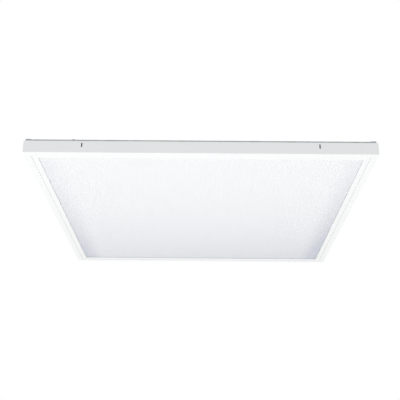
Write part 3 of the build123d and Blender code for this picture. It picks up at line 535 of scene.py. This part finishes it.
def add_block(bm, low, high, ease=0.0, segments=2):
    """A block between two corners, with its edges rounded by ease."""
    low, high = Vector(low), Vector(high)
    verts = bmesh.ops.create_cube(bm, size=1.0)["verts"]
    bmesh.ops.scale(bm, vec=high - low, verts=verts)
    bmesh.ops.translate(bm, vec=(low + high) / 2, verts=verts)
    if ease:
        edges = [edge for edge in bm.edges if edge.verts[0] in verts]
        bmesh.ops.bevel(
            bm, geom=edges, offset=ease, offset_type="OFFSET", segments=segments, profile=0.5,
            affect="EDGES", material=-1,
        )


chip = bmesh.new()
add_block(chip, (-CHIP_HALF, -CHIP_HALF, -CHIP_HEIGHT), (CHIP_HALF, CHIP_HALF, 0))
upright = [edge for edge in chip.edges if abs(edge.verts[0].co.z - edge.verts[1].co.z) > 0.5]
bmesh.ops.bevel(
    chip, geom=upright, offset=CUP_CHAMFER, offset_type="OFFSET", segments=1, profile=0.5,
    affect="EDGES", material=-1,
)
chip.normal_update()
cup = [face for face in chip.faces if face.normal.z < -0.9]
bmesh.ops.inset_region(chip, faces=cup, thickness=CUP_WALL, use_even_offset=True)
bmesh.ops.inset_region(chip, faces=cup, thickness=GEL_SLOPE, depth=-GEL_DROP, use_even_offset=True)
for face in cup:
    face.material_index = 1
chip_reach = board_boxes[0][1].x - CHIP_END_INSET
chip_pitch = 2 * chip_reach / (CHIP_COUNT - 1)
chip_spots = [(chip_reach - chip_pitch * place, y) for y in board_rows for place in range(CHIP_COUNT)]
chips = repeated(chip, [at(x, y, board_low) for x, y in chip_spots])
chip_cup = finish("chip_cup_resin", "F4F3EE", "EEEDE6", 0.3, 0.001, (0.35, 0.45))
phosphor = finish("phosphor_gel", "F2CE4B", "E8BE38", 0.4, 0.003, (0.18, 0.28))
finish_piece(chips, "phosphor_chips", [chip_cup, phosphor], "housing", "chip_phosphor", "led_chips")


# ---- LED optics
# Clear acrylic domes, 14 mm across and moulded hollow, one glued over each chip by a narrow
# foot. They spread its light sideways, and look like flat drops of water.
OPTIC_RADIUS = 7.0
OPTIC_HEIGHT = 4.5
CAVITY_RADIUS = 3.2
CAVITY_HEIGHT = 1.6
FOOT_WIDTH = 0.5
FOOT_HEIGHT = 0.15
ARC_STEPS = 6
dome_radius = (OPTIC_RADIUS**2 + OPTIC_HEIGHT**2) / (2 * OPTIC_HEIGHT)
half_arc = math.asin(OPTIC_RADIUS / dome_radius)
optic_profile = [(0, -CAVITY_HEIGHT), (0.7 * CAVITY_RADIUS, -0.9 * CAVITY_HEIGHT)]
optic_profile += [(CAVITY_RADIUS, -0.45 * CAVITY_HEIGHT), (CAVITY_RADIUS, -FOOT_HEIGHT)]
optic_profile += [(OPTIC_RADIUS - FOOT_WIDTH, -FOOT_HEIGHT), (OPTIC_RADIUS - FOOT_WIDTH, 0)]
for step in range(ARC_STEPS + 1):
    angle = half_arc * (1 - step / ARC_STEPS)
    optic_profile.append(
        (dome_radius * math.sin(angle), dome_radius * (1 - math.cos(angle)) - OPTIC_HEIGHT)
    )
optics = repeated(turned(optic_profile, 20), [at(x, y, board_low) for x, y in chip_spots])
optic_acrylic = finish(
    "clear_moulded_acrylic", "FCFDFD", "F9FBFB", 2.0, 0.001, (0.02, 0.05),
    **{"Transmission Weight": 1.0, "IOR": 1.49},
)
finish_piece(optics, "clear_domes", [optic_acrylic], "housing", "optic_acrylic", "led_optics")


# ---- Board connectors and their leads
# Wire to board connectors in natural nylon, creamy and a little translucent, with ribs that
# lock the plug. Leads run from each board to the next, and one pair comes from the driver.
CONNECTOR_LENGTH = 12
CONNECTOR_WIDTH = 6
CONNECTOR_HEIGHT = 4
CONNECTOR_EASE = 0.35
RIB_HALF = 0.6
RIB_HEIGHT = 0.5
RIB_SUNK = 0.4
RIB_PITCH = 3.6
RIB_EASE = 0.15
half_x, half_y = CONNECTOR_LENGTH / 2, CONNECTOR_WIDTH / 2
body_low = RIB_HEIGHT - CONNECTOR_HEIGHT
connector = bmesh.new()
add_block(connector, (-half_x, -half_y, body_low), (half_x, half_y, 0), CONNECTOR_EASE)
for x in (-RIB_PITCH, 0, RIB_PITCH):
    rib_low = (x - RIB_HALF, RIB_SUNK - half_y, -CONNECTOR_HEIGHT)
    add_block(connector, rib_low, (x + RIB_HALF, half_y - RIB_SUNK, body_low + RIB_SUNK), RIB_EASE, 1)
connector_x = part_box("board_connectors")[0].x / MM + half_x
connectors = repeated(connector, [at(connector_x, y, board_low) for y in board_rows])
nylon = finish(
    "natural_nylon", "F0EEE4", "E7E4D8", 0.7, 0.003, (0.35, 0.5), **{"Subsurface Weight": 0.1}
)
finish_piece(connectors, "wire_connectors", [nylon], "housing", "connector_nylon", "board_connectors")

# The leads' insulation is extruded PVC, evenly coloured and smooth with a soft gloss.
for name, pale, dark in (
    ("dc_leads_red", "C8352B", "B52C24"),
    ("dc_leads_black", "2A2A2C", "1E1E20"),
    ("live_lead", "7A4A2B", "6B3F24"),
    ("neutral_lead", "2F6DB5", "275E9F"),
):
    dress(finish(f"pvc_of_{name}", pale, dark, 1.1, 0.004, (0.3, 0.42)), name)

# The earth lead's insulation is green with two yellow bands that run along it, above and below.
green_yellow, tree, shader = new_material("green_and_yellow_pvc", {})
_, colour = add_finish(tree, shader, "3E9A3A", "358A32", 1.1, 0.004, (0.3, 0.42))
normal = add_node(tree, "ShaderNodeNewGeometry").outputs["Normal"]
upward = add_node(tree, "ShaderNodeSeparateXYZ", {"Vector": normal}).outputs["Z"]
steep = add_node(tree, "ShaderNodeMath", {0: upward}, operation="ABSOLUTE").outputs[0]
band = add_node(tree, "ShaderNodeMath", {0: steep, 1: 0.75}, operation="GREATER_THAN").outputs[0]
striped = add_node(tree, "ShaderNodeMix", {0: band, 6: colour, 7: linear("E9D13A")}, data_type="RGBA")
tree.links.new(striped.outputs[2], shader.inputs["Base Color"])
dress(green_yellow, "earth_lead")


# ---- Lead grommet
# A moulded ring of black EPDM rubber, dull and not quite black, pressed into its hole. Its two
# rounded lips grip both sheets, and the leads pass through its middle.
GROMMET_LIP = 7.0
GROMMET_NECK = 5.0
GROMMET_BORE = 3.2
LIP_ROUND = 0.6
LIP_TAPER = 0.2
grommet_low, grommet_high = (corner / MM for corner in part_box("lead_grommet"))
lip_low, lip_high = grommet_low.z, grommet_high.z
grommet = turned(
    [
        (GROMMET_BORE + LIP_ROUND, lip_low),
        (GROMMET_LIP - LIP_ROUND, lip_low),
        (GROMMET_LIP, lip_low + LIP_ROUND),
        (GROMMET_LIP - LIP_TAPER, board_top),
        (GROMMET_NECK, board_top),
        (GROMMET_NECK, box_floor),
        (GROMMET_LIP - LIP_TAPER, box_floor),
        (GROMMET_LIP, lip_high - LIP_ROUND),
        (GROMMET_LIP - LIP_ROUND, lip_high),
        (GROMMET_BORE + LIP_ROUND, lip_high),
        (GROMMET_BORE, lip_high - LIP_ROUND),
        (GROMMET_BORE, lip_low + LIP_ROUND),
        (GROMMET_BORE + LIP_ROUND, lip_low),
    ],
    40,
)
grommet_x = (grommet_low.x + grommet_high.x) / 2
bmesh.ops.transform(grommet, matrix=at(grommet_x, box_middle, 0), verts=grommet.verts)
rubber = finish("black_epdm_rubber", "2B2B2C", "212122", 0.6, 0.006, (0.6, 0.75))
finish_piece(grommet, "rubber_grommet", [rubber], "housing", "grommet_rubber", "lead_grommet")


# ---- Gear box hinge pins and thumb screw
# Drawn steel pins in the knuckles, and a knurled thumb screw, turned from brass and nickel
# plated, that clamps the open slot of the cover.
KNURL_RADIUS = 5.0
KNURL_DEPTH = 0.35
KNURL_TEETH = 36
HEAD_LENGTH = 6.0
HEAD_CHAMFER = 1.0
DIMPLE_RADIUS = 3.0
DIMPLE_SLOPE = 0.3
DIMPLE_DEPTH = 0.6
SCREW_SHANK = 2.0
SCREW_REACH = 12.0
TIP_CHAMFER = 0.5
dress(fastener_steel, "cover_hinge_pins", "hinge_pins")
screw_low, screw_high = (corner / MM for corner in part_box("cover_screw"))
thumb_screw = turned(
    [
        (0, HEAD_LENGTH - DIMPLE_DEPTH),
        (DIMPLE_RADIUS, HEAD_LENGTH - DIMPLE_DEPTH),
        (DIMPLE_RADIUS + DIMPLE_SLOPE, HEAD_LENGTH),
        (KNURL_RADIUS - HEAD_CHAMFER, HEAD_LENGTH),
        (KNURL_RADIUS, HEAD_LENGTH - HEAD_CHAMFER),
        (KNURL_RADIUS, HEAD_CHAMFER),
        (KNURL_RADIUS - HEAD_CHAMFER, 0),
        (SCREW_SHANK, 0),
        (SCREW_SHANK, TIP_CHAMFER - SCREW_REACH),
        (SCREW_SHANK - TIP_CHAMFER, -SCREW_REACH),
        (0, -SCREW_REACH),
    ],
    2 * KNURL_TEETH,
)
for vert in thumb_screw.verts:
    tooth = round(math.atan2(vert.co.y, vert.co.x) / math.tau * 2 * KNURL_TEETH)
    if vert.co.xy.length > KNURL_RADIUS - 0.1 and tooth % 2:
        vert.co.xy *= 1 - KNURL_DEPTH / KNURL_RADIUS
seat = screw_low.y + HEAD_LENGTH
bmesh.ops.transform(
    thumb_screw, matrix=at(0, seat, (screw_low.z + screw_high.z) / 2, tilt=90), verts=thumb_screw.verts
)

# Satin nickel is warmer and a little darker than zinc.
nickel = finish("nickel_plated_brass", "C9C5BC", "B9B5AC", 0.5, 0.001, (0.18, 0.28), Metallic=1.0)
finish_piece(thumb_screw, "knurled_thumb_screw", [nickel], "housing", "thumb_screw_nickel", "cover_screw")


# ---- Driver
# The driver's case and lid are moulded in white polycarbonate with a fine sparked texture
# and eased edges, and snap together round its board.
CASE_EASE = 0.6
SHARP_ANGLE = 40
EASED_LENGTH = 3


def eased(name, node, material, slot, ease):
    """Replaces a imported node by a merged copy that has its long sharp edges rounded."""
    shape = bmesh.new()
    shape.from_mesh(nodes[node].data)
    bmesh.ops.scale(shape, vec=(1 / MM, 1 / MM, 1 / MM), verts=shape.verts)
    bmesh.ops.remove_doubles(shape, verts=shape.verts, dist=1e-3)
    bmesh.ops.dissolve_limit(shape, angle_limit=math.radians(0.5), verts=shape.verts, edges=shape.edges)
    folds = [
        edge for edge in shape.edges
        if edge.is_manifold and edge.calc_face_angle() > math.radians(SHARP_ANGLE)
    ]
    sharp = [edge for edge in folds if edge.calc_length() > EASED_LENGTH * ease]
    bmesh.ops.bevel(
        shape, geom=sharp, offset=ease, offset_type="OFFSET", segments=2, profile=0.5,
        affect="EDGES", clamp_overlap=True, material=-1,
    )
    finish_piece(shape, name, [material], nodes[node]["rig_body"], slot, node)


polycarbonate = finish("sparked_polycarbonate", "EDEDE9", "E7E7E2", 0.5, 0.01, (0.5, 0.62))
eased("driver_shell", "driver_case", polycarbonate, "driver_plastic", CASE_EASE)
eased("driver_top", "driver_lid", polycarbonate, "driver_plastic", CASE_EASE)

# Its board is glass epoxy under a glossy green mask, with a transformer, a choke and two
# capacitors in half matt black.
dress(finish("green_solder_mask", "2C7A4B", "256B41", 0.8, 0.004, (0.25, 0.35)), "driver_board")
dress(finish("black_moulded_components", "29292B", "1F1F21", 0.6, 0.004, (0.4, 0.55)), "driver_components")


# ---- Terminal block and levers
# A three pole lever terminal. The body is grey glass filled polyamide, quite matt, and the
# orange levers are moulded glossy.
TERMINAL_EASE = 0.3
LEVER_EASE = 0.25
polyamide = finish("grey_polyamide", "A2A5A7", "989B9D", 0.5, 0.006, (0.45, 0.58))
eased("lever_terminal", "terminal_block", polyamide, "terminal_grey", TERMINAL_EASE)
lever_plastic = finish("orange_lever_plastic", "E8722B", "DD6722", 0.7, 0.003, (0.25, 0.36))
for number in range(1, 4):
    eased(f"orange_lever_{number}", f"terminal_lever_{number}", lever_plastic, "lever_orange", LEVER_EASE)


# ---- Cable gland
# A moulded polyamide gland: a threaded body through the wall, a hexagon nut inside, and a
# dome nut outside that closes its fingers on the cable.
GLAND_THREAD = 8.0
GLAND_PITCH = 1.5
GLAND_THREAD_DEPTH = 0.6
GLAND_THREAD_FLAT = 0.1
GLAND_FINGERS = 7.5
FINGER_GAP = 0.1
GLAND_BORE = 4.5
GLAND_HEX = 11.0
GLAND_COLLAR = 5.0
HEX_CUTS = 7
HEX_ROUND = 10.4
DOME_BASE = 8.8
DOME_NOSE = 7.0
DOME_MOUTH = 5.0
MOUTH_ROUND = 0.6
NOSE_ROUND = 1.2
NOSE_OVERLAP = 1.0
RIB_COUNT = 24
RIB_DEPTH = 0.35
gland_low, gland_high = (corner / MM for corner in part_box("cable_gland_body"))
gland_centre = ((gland_low.y + gland_high.y) / 2, (gland_low.z + gland_high.z) / 2)
wall_x = box_high.x
thread = [(GLAND_BORE, 0)]
thread_length = wall_x - gland_low.x
for turn in range(int(thread_length / GLAND_PITCH)):
    thread.append((GLAND_THREAD - GLAND_THREAD_DEPTH, turn * GLAND_PITCH + GLAND_THREAD_FLAT))
    thread.append((GLAND_THREAD, (turn + 0.5) * GLAND_PITCH))
finger_length = gland_high.x - gland_low.x
thread += [
    (GLAND_THREAD - GLAND_THREAD_DEPTH, thread_length),
    (GLAND_FINGERS, thread_length),
    (GLAND_FINGERS, finger_length),
    (GLAND_BORE, finger_length),
    (GLAND_BORE, 0),
]


def hexagon(length, bore):
    """A hexagon nut along Z, with eased corners and a round bore."""
    bm = bmesh.new()
    bmesh.ops.create_circle(bm, segments=6, radius=GLAND_HEX)
    bmesh.ops.subdivide_edges(bm, edges=bm.edges, cuts=HEX_CUTS)
    outer = list(bm.edges)
    bmesh.ops.create_circle(bm, segments=6 * (HEX_CUTS + 1), radius=bore)
    inner = [edge for edge in bm.edges if edge not in outer]
    ring = bmesh.ops.bridge_loops(bm, edges=outer + inner)["faces"]
    raised = bmesh.ops.extrude_face_region(bm, geom=ring)["geom"]
    top = [part for part in raised if isinstance(part, bmesh.types.BMVert)]
    bmesh.ops.translate(bm, vec=(0, 0, length), verts=top)
    bmesh.ops.recalc_face_normals(bm, faces=bm.faces)
    for vert in bm.verts:
        if vert.co.xy.length > HEX_ROUND:
            vert.co.xy *= HEX_ROUND / vert.co.xy.length
    return bm


def along_x(bm, x):
    """Lays a gland piece along X, with its start at that place on the gland's axis."""
    turn = Matrix.Rotation(math.radians(90), 4, "Y")
    bmesh.ops.transform(bm, matrix=Matrix.Translation((x, *gland_centre)) @ turn, verts=bm.verts)
    return bm


# Moulded polyamide is evenly grey and half matt, with the fine grain of its mould.
gland_grey = finish("grey_gland_polyamide", "8B9094", "82878B", 0.5, 0.006, (0.42, 0.55))
gland_body = joined([
    along_x(turned(thread, 48), gland_low.x),
    along_x(hexagon(GLAND_COLLAR, GLAND_BORE), wall_x),
])
finish_piece(gland_body, "gland_body", [gland_grey], "housing", "gland_grey", "cable_gland_body")

locknut_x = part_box("gland_locknut")[0].x / MM
locknut = along_x(hexagon(wall_x - SHEET - locknut_x, GLAND_THREAD), locknut_x)
finish_piece(locknut, "gland_inner_nut", [gland_grey], "housing", "gland_grey", "gland_locknut")

# The dome nut's nose is drawn in over the fingers and has moulded grip ribs along it.
dome_low, dome_high = (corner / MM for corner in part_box("gland_dome_nut"))
dome_start = dome_low.x
dome_end = dome_high.x - dome_start
nose_start = dome_end - DOME_NOSE
nose_root = nose_start - NOSE_OVERLAP
cavity_radius = GLAND_FINGERS + FINGER_GAP
cavity_end = finger_length + gland_low.x - dome_start + FINGER_GAP
nose = turned(
    [
        (cavity_radius, nose_root),
        (DOME_BASE, nose_root),
        (DOME_BASE, nose_start + 0.45 * DOME_NOSE),
        (0.93 * DOME_BASE, dome_end - NOSE_ROUND),
        (0.8 * DOME_BASE, dome_end),
        (DOME_MOUTH + MOUTH_ROUND, dome_end),
        (DOME_MOUTH, dome_end - MOUTH_ROUND),
        (DOME_MOUTH, cavity_end),
        (cavity_radius, cavity_end),
        (cavity_radius, nose_root),
    ],
    2 * RIB_COUNT,
)
for vert in nose.verts:
    spoke = round(math.atan2(vert.co.y, vert.co.x) / math.tau * 2 * RIB_COUNT)
    if vert.co.xy.length > DOME_BASE - 0.1 and spoke % 2:
        vert.co.xy *= 1 - RIB_DEPTH / DOME_BASE
dome_nut = joined([along_x(hexagon(nose_start, cavity_radius), dome_start), along_x(nose, dome_start)])
finish_piece(dome_nut, "ribbed_dome_nut", [gland_grey], "housing", "gland_grey", "gland_dome_nut")


# ---- Earth screw
# An M4 screw that clamps the earth lead's tinned ring terminal on the bare tray.
EARTH_HEAD = 3.8
EARTH_HEAD_HEIGHT = 2.6
EARTH_SHANK = 2.0
RING_SHEET = 0.8
BARREL_BORE = 1.1
BARREL_RADIUS = 1.6
BARREL_LENGTH = 6.0
CRIMPED_RADIUS = 0.9 * BARREL_RADIUS
earth_low, earth_high = (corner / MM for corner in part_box("earth_screw"))
ring_radius = (earth_high.y - earth_low.y) / 2
earth_y = earth_low.y + ring_radius
earth_x = earth_low.x + ring_radius
ring_top = box_floor + RING_SHEET
ring = turned(
    [
        (EARTH_SHANK, 0),
        (ring_radius, 0),
        (ring_radius, RING_SHEET),
        (EARTH_SHANK, RING_SHEET),
        (EARTH_SHANK, 0),
    ],
    32,
)
bmesh.ops.translate(ring, vec=(earth_x, earth_y, box_floor), verts=ring.verts)
barrel = turned(
    [
        (BARREL_BORE, 0),
        (BARREL_RADIUS, 0),
        (BARREL_RADIUS, 0.3 * BARREL_LENGTH),
        (CRIMPED_RADIUS, 0.4 * BARREL_LENGTH),
        (CRIMPED_RADIUS, 0.6 * BARREL_LENGTH),
        (BARREL_RADIUS, 0.7 * BARREL_LENGTH),
        (BARREL_RADIUS, BARREL_LENGTH),
        (BARREL_BORE, BARREL_LENGTH),
        (BARREL_BORE, 0),
    ],
    20,
)
barrel_place = Matrix.Translation((earth_x + ring_radius, earth_y, box_floor + BARREL_RADIUS))
bmesh.ops.transform(
    barrel, matrix=barrel_place @ Matrix.Rotation(math.radians(90), 4, "Y"), verts=barrel.verts
)
clamp = cross_screw(EARTH_HEAD, EARTH_HEAD_HEIGHT, EARTH_SHANK, ring_top - earth_low.z)
bmesh.ops.translate(clamp, vec=(earth_x, earth_y, ring_top), verts=clamp.verts)
earth_parts = joined([ring, barrel, clamp])
finish_piece(
    earth_parts, "earth_screw_and_ring", [fastener_steel], "housing", "fastener_steel", "earth_screw"
)


# ---- Grid clip rivets
# Shoulder rivets with low domed heads. A clip stays free to turn under each.
CLIP_HEAD = 4.5
CLIP_HEAD_HEIGHT = 1.5
CLIP_SHANK = 2.0
CLIP_TAIL = 2.8
CLIP_TAIL_ROUND = 0.5
clip_low, clip_high = (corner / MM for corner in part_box("grid_clip_rivets"))
clip_spots = mirrored((clip_high.x - CLIP_HEAD, clip_high.y - CLIP_HEAD))
seat = clip_high.z - CLIP_HEAD_HEIGHT
clip_rivet = turned(
    [
        (0, clip_low.z - seat),
        (CLIP_TAIL * 0.7, clip_low.z - seat),
        (CLIP_TAIL, clip_low.z - seat + CLIP_TAIL_ROUND),
        (CLIP_TAIL, board_top - seat),
        (CLIP_SHANK, board_top - seat),
        (CLIP_SHANK, 0),
        (CLIP_HEAD, 0),
        (CLIP_HEAD * 0.97, CLIP_HEAD_HEIGHT * 0.45),
        (CLIP_HEAD * 0.8, CLIP_HEAD_HEIGHT * 0.8),
        (CLIP_HEAD * 0.5, CLIP_HEAD_HEIGHT * 0.96),
        (0, CLIP_HEAD_HEIGHT),
    ],
    28,
)
clip_rivets = repeated(clip_rivet, [at(x, y, seat) for x, y in clip_spots])
finish_piece(
    clip_rivets, "domed_clip_rivets", [fastener_steel], "housing", "fastener_steel", "grid_clip_rivets"
)


# ---- Catch magnets
# Sintered ferrite bars in bright nickel cases, glued under the brackets of the front rail.
# The nickel is smooth and has a warm grey shine.
MAGNET_EASE = 0.4
magnet_case = finish("nickel_magnet_case", "BDBAB4", "ADAAA4", 0.6, 0.002, (0.2, 0.32), Metallic=1.0)
eased("rounded_magnets", "catch_magnets", magnet_case, "magnet_nickel", MAGNET_EASE)


# ---- Light seal
# A white closed cell foam strip, glued on the lip of the left, right and front rails. It
# hides the narrow gap between the lip and the door, and its skin looks quite matt.
LIP_WIDTH = 11.0
SEAL_OVERHANG = 0.45
SEAL_WIDTH = 5.0
SEAL_HEIGHT = 2.0
SEAL_ROUND = 0.12
seal_low = SHEET
seal_high = SHEET + SEAL_HEIGHT
seal_inner = half_side - LIP_WIDTH - SEAL_OVERHANG
seal_outer = seal_inner + SEAL_WIDTH
seal = bmesh.new()
for sign in (-1, 1):
    near, far = sorted((sign * seal_inner, sign * seal_outer))
    add_block(seal, (near, -seal_inner, seal_low), (far, seal_inner, seal_high), SEAL_ROUND)
add_block(seal, (-seal_outer, -seal_outer, seal_low), (seal_outer, -seal_inner, seal_high), SEAL_ROUND)
foam = finish("white_foam_strip", "F4F4F2", "EEEEEB", 0.5, 0.03, (0.8, 0.9))
finish_piece(seal, "light_seal", [foam], "housing", "white_powder_coat")


# ---- Lens door
# The door frame is folded, mitred and coated like the rails. Leaves of rolled spring steel,
# greyer and plainer than zinc, hold the lens and its film down on its hem.
dress(powder_coat, *[f"door_rail_{side}" for side in SIDES])
spring_steel = finish("rolled_spring_steel", "A9ACAE", "989B9E", 0.7, 0.002, (0.3, 0.42), Metallic=1.0)
dress(spring_steel, "lens_clips")


# ---- Lens
# Acrylic sheet with square pyramids pressed into its lower face, 4 mm apart. A plain flat
# border lies on the hem of the door frame, and the upper face is smooth.
PRISM_PITCH = 4
PRISM_HEIGHT = 0.6
FACE_WIDTH = 21.9
FILM_CLEARANCE = 0.05
# Painted shade on the lens: how far in it reaches at the sides, how strong it is at the sides and the rear,
# and how much falls at the front, left and right.
SHADE_WIDTH = 60
SIDE_SHADE = 0.9
REAR_SHADE = 0.72
REAR_POWER = 2.2
FRONT_SHARE = 0.25
LEFT_SHARE = 0.7
RIGHT_SHARE = 0.9
ACRYLIC_CLEAR = "FDFDFE"
ACRYLIC_PAINTED_SHADE = "D4D7E0"
lens_low, lens_high = (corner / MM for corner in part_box("lens"))
lens_size = lens_high - lens_low

# The sloped reflector stands close behind its sides and sends less light back than the boards do. That
# shade is painted into the sheet's colour: greyer near its left and right sides, more so towards the rear,
# darker again towards its rear edge, and darker on the right than on the left. Its polished prisms give a
# soft sparkle.
acrylic, tree, shader = new_material("prismatic_acrylic", {"IOR": 1.49, "Transmission Weight": 0.1})
place, colour = add_finish(tree, shader, ACRYLIC_CLEAR, "FBFCFD", 8.0, 0.001, (0.3, 0.36))
spot = add_node(tree, "ShaderNodeSeparateXYZ", {"Vector": place})
side = add_node(tree, "ShaderNodeMath", {0: spot.outputs["X"]}, operation="ABSOLUTE").outputs[0]
edge_half = lens_size.x / 2 * MM
beside = add_node(
    tree,
    "ShaderNodeMapRange",
    {
        "Value": side,
        "From Min": edge_half - SHADE_WIDTH * MM,
        "From Max": edge_half,
        "To Max": SIDE_SHADE,
    },
    interpolation_type="SMOOTHERSTEP",
).outputs[0]
over_sheet = {"From Min": -edge_half, "From Max": edge_half}
rearward = add_node(tree, "ShaderNodeMapRange", {"Value": spot.outputs["Y"], **over_sheet}).outputs[0]
rightward = add_node(
    tree,
    "ShaderNodeMapRange",
    {"Value": spot.outputs["X"], **over_sheet, "To Min": LEFT_SHARE, "To Max": RIGHT_SHARE},
).outputs[0]
behind = add_node(tree, "ShaderNodeMath", {0: rearward, 1: REAR_POWER}, operation="POWER").outputs[0]
behind = add_node(tree, "ShaderNodeMath", {0: behind, 1: REAR_SHADE}, operation="MULTIPLY").outputs[0]
share = add_node(tree, "ShaderNodeMapRange", {"Value": rearward, "To Min": FRONT_SHARE}).outputs[0]
beside = add_node(tree, "ShaderNodeMath", {0: beside, 1: share}, operation="MULTIPLY").outputs[0]
# depth holds the strength of the painted shade at each point, and is mixed into the acrylic's colour below.
depth = add_node(tree, "ShaderNodeMath", {0: beside, 1: behind}, operation="ADD").outputs[0]
depth = add_node(
    tree, "ShaderNodeMath", {0: depth, 1: rightward}, operation="MULTIPLY", use_clamp=True
).outputs[0]
painted_shade_mix = add_node(tree, "ShaderNodeMix", {0: depth, 6: colour, 7: linear(ACRYLIC_PAINTED_SHADE)}, data_type="RGBA")
tree.links.new(painted_shade_mix.outputs[2], shader.inputs["Base Color"])
prism_counts = [round(length / PRISM_PITCH) for length in lens_size[:2]]
prism_base = lens_low.z + PRISM_HEIGHT
aperture_half = half_side - FACE_WIDTH
sheet = bmesh.new()
bmesh.ops.create_grid(sheet, x_segments=prism_counts[0], y_segments=prism_counts[1], size=0.5)
bmesh.ops.scale(sheet, vec=(lens_size.x, lens_size.y, 1), verts=sheet.verts)
lens_middle = ((lens_low.x + lens_high.x) / 2, (lens_low.y + lens_high.y) / 2, prism_base)
bmesh.ops.translate(sheet, vec=lens_middle, verts=sheet.verts)
rim = [edge for edge in sheet.edges if edge.is_boundary]
bmesh.ops.reverse_faces(sheet, faces=sheet.faces)
border = []
prisms = []
for face in sheet.faces:
    middle = face.calc_center_median()
    on_hem = max(abs(middle.x), abs(middle.y)) > aperture_half
    (border if on_hem else prisms).append(face)
bmesh.ops.poke(sheet, faces=prisms, offset=PRISM_HEIGHT, center_mode="MEAN")
sunk = bmesh.ops.extrude_face_region(sheet, geom=border)["geom"]
bmesh.ops.delete(sheet, geom=border, context="FACES")
flat_verts = [part for part in sunk if isinstance(part, bmesh.types.BMVert)]
bmesh.ops.translate(sheet, vec=(0, 0, -PRISM_HEIGHT), verts=flat_verts)
upper = bmesh.ops.extrude_edge_only(sheet, edges=rim)["geom"]
upper_verts = [part for part in upper if isinstance(part, bmesh.types.BMVert)]
upper_edges = [part for part in upper if isinstance(part, bmesh.types.BMEdge)]
bmesh.ops.translate(sheet, vec=(0, 0, lens_high.z - FILM_CLEARANCE - prism_base), verts=upper_verts)
bmesh.ops.edgeloop_fill(sheet, edges=upper_edges)
bmesh.ops.recalc_face_normals(sheet, faces=sheet.faces)
lens_piece = finish_piece(sheet, "prismatic_lens", [acrylic], "lens_door", "lens_acrylic", "lens")
lens_piece.data.shade_flat()


# ---- Diffuser film
# A loose sheet of opal polycarbonate film on top of the lens, 0.4 mm thick and matt.
dress(finish("opal_film", "F9FAFB", "F7F8FA", 0.6, 0.002, (0.5, 0.6)), "diffuser_film")
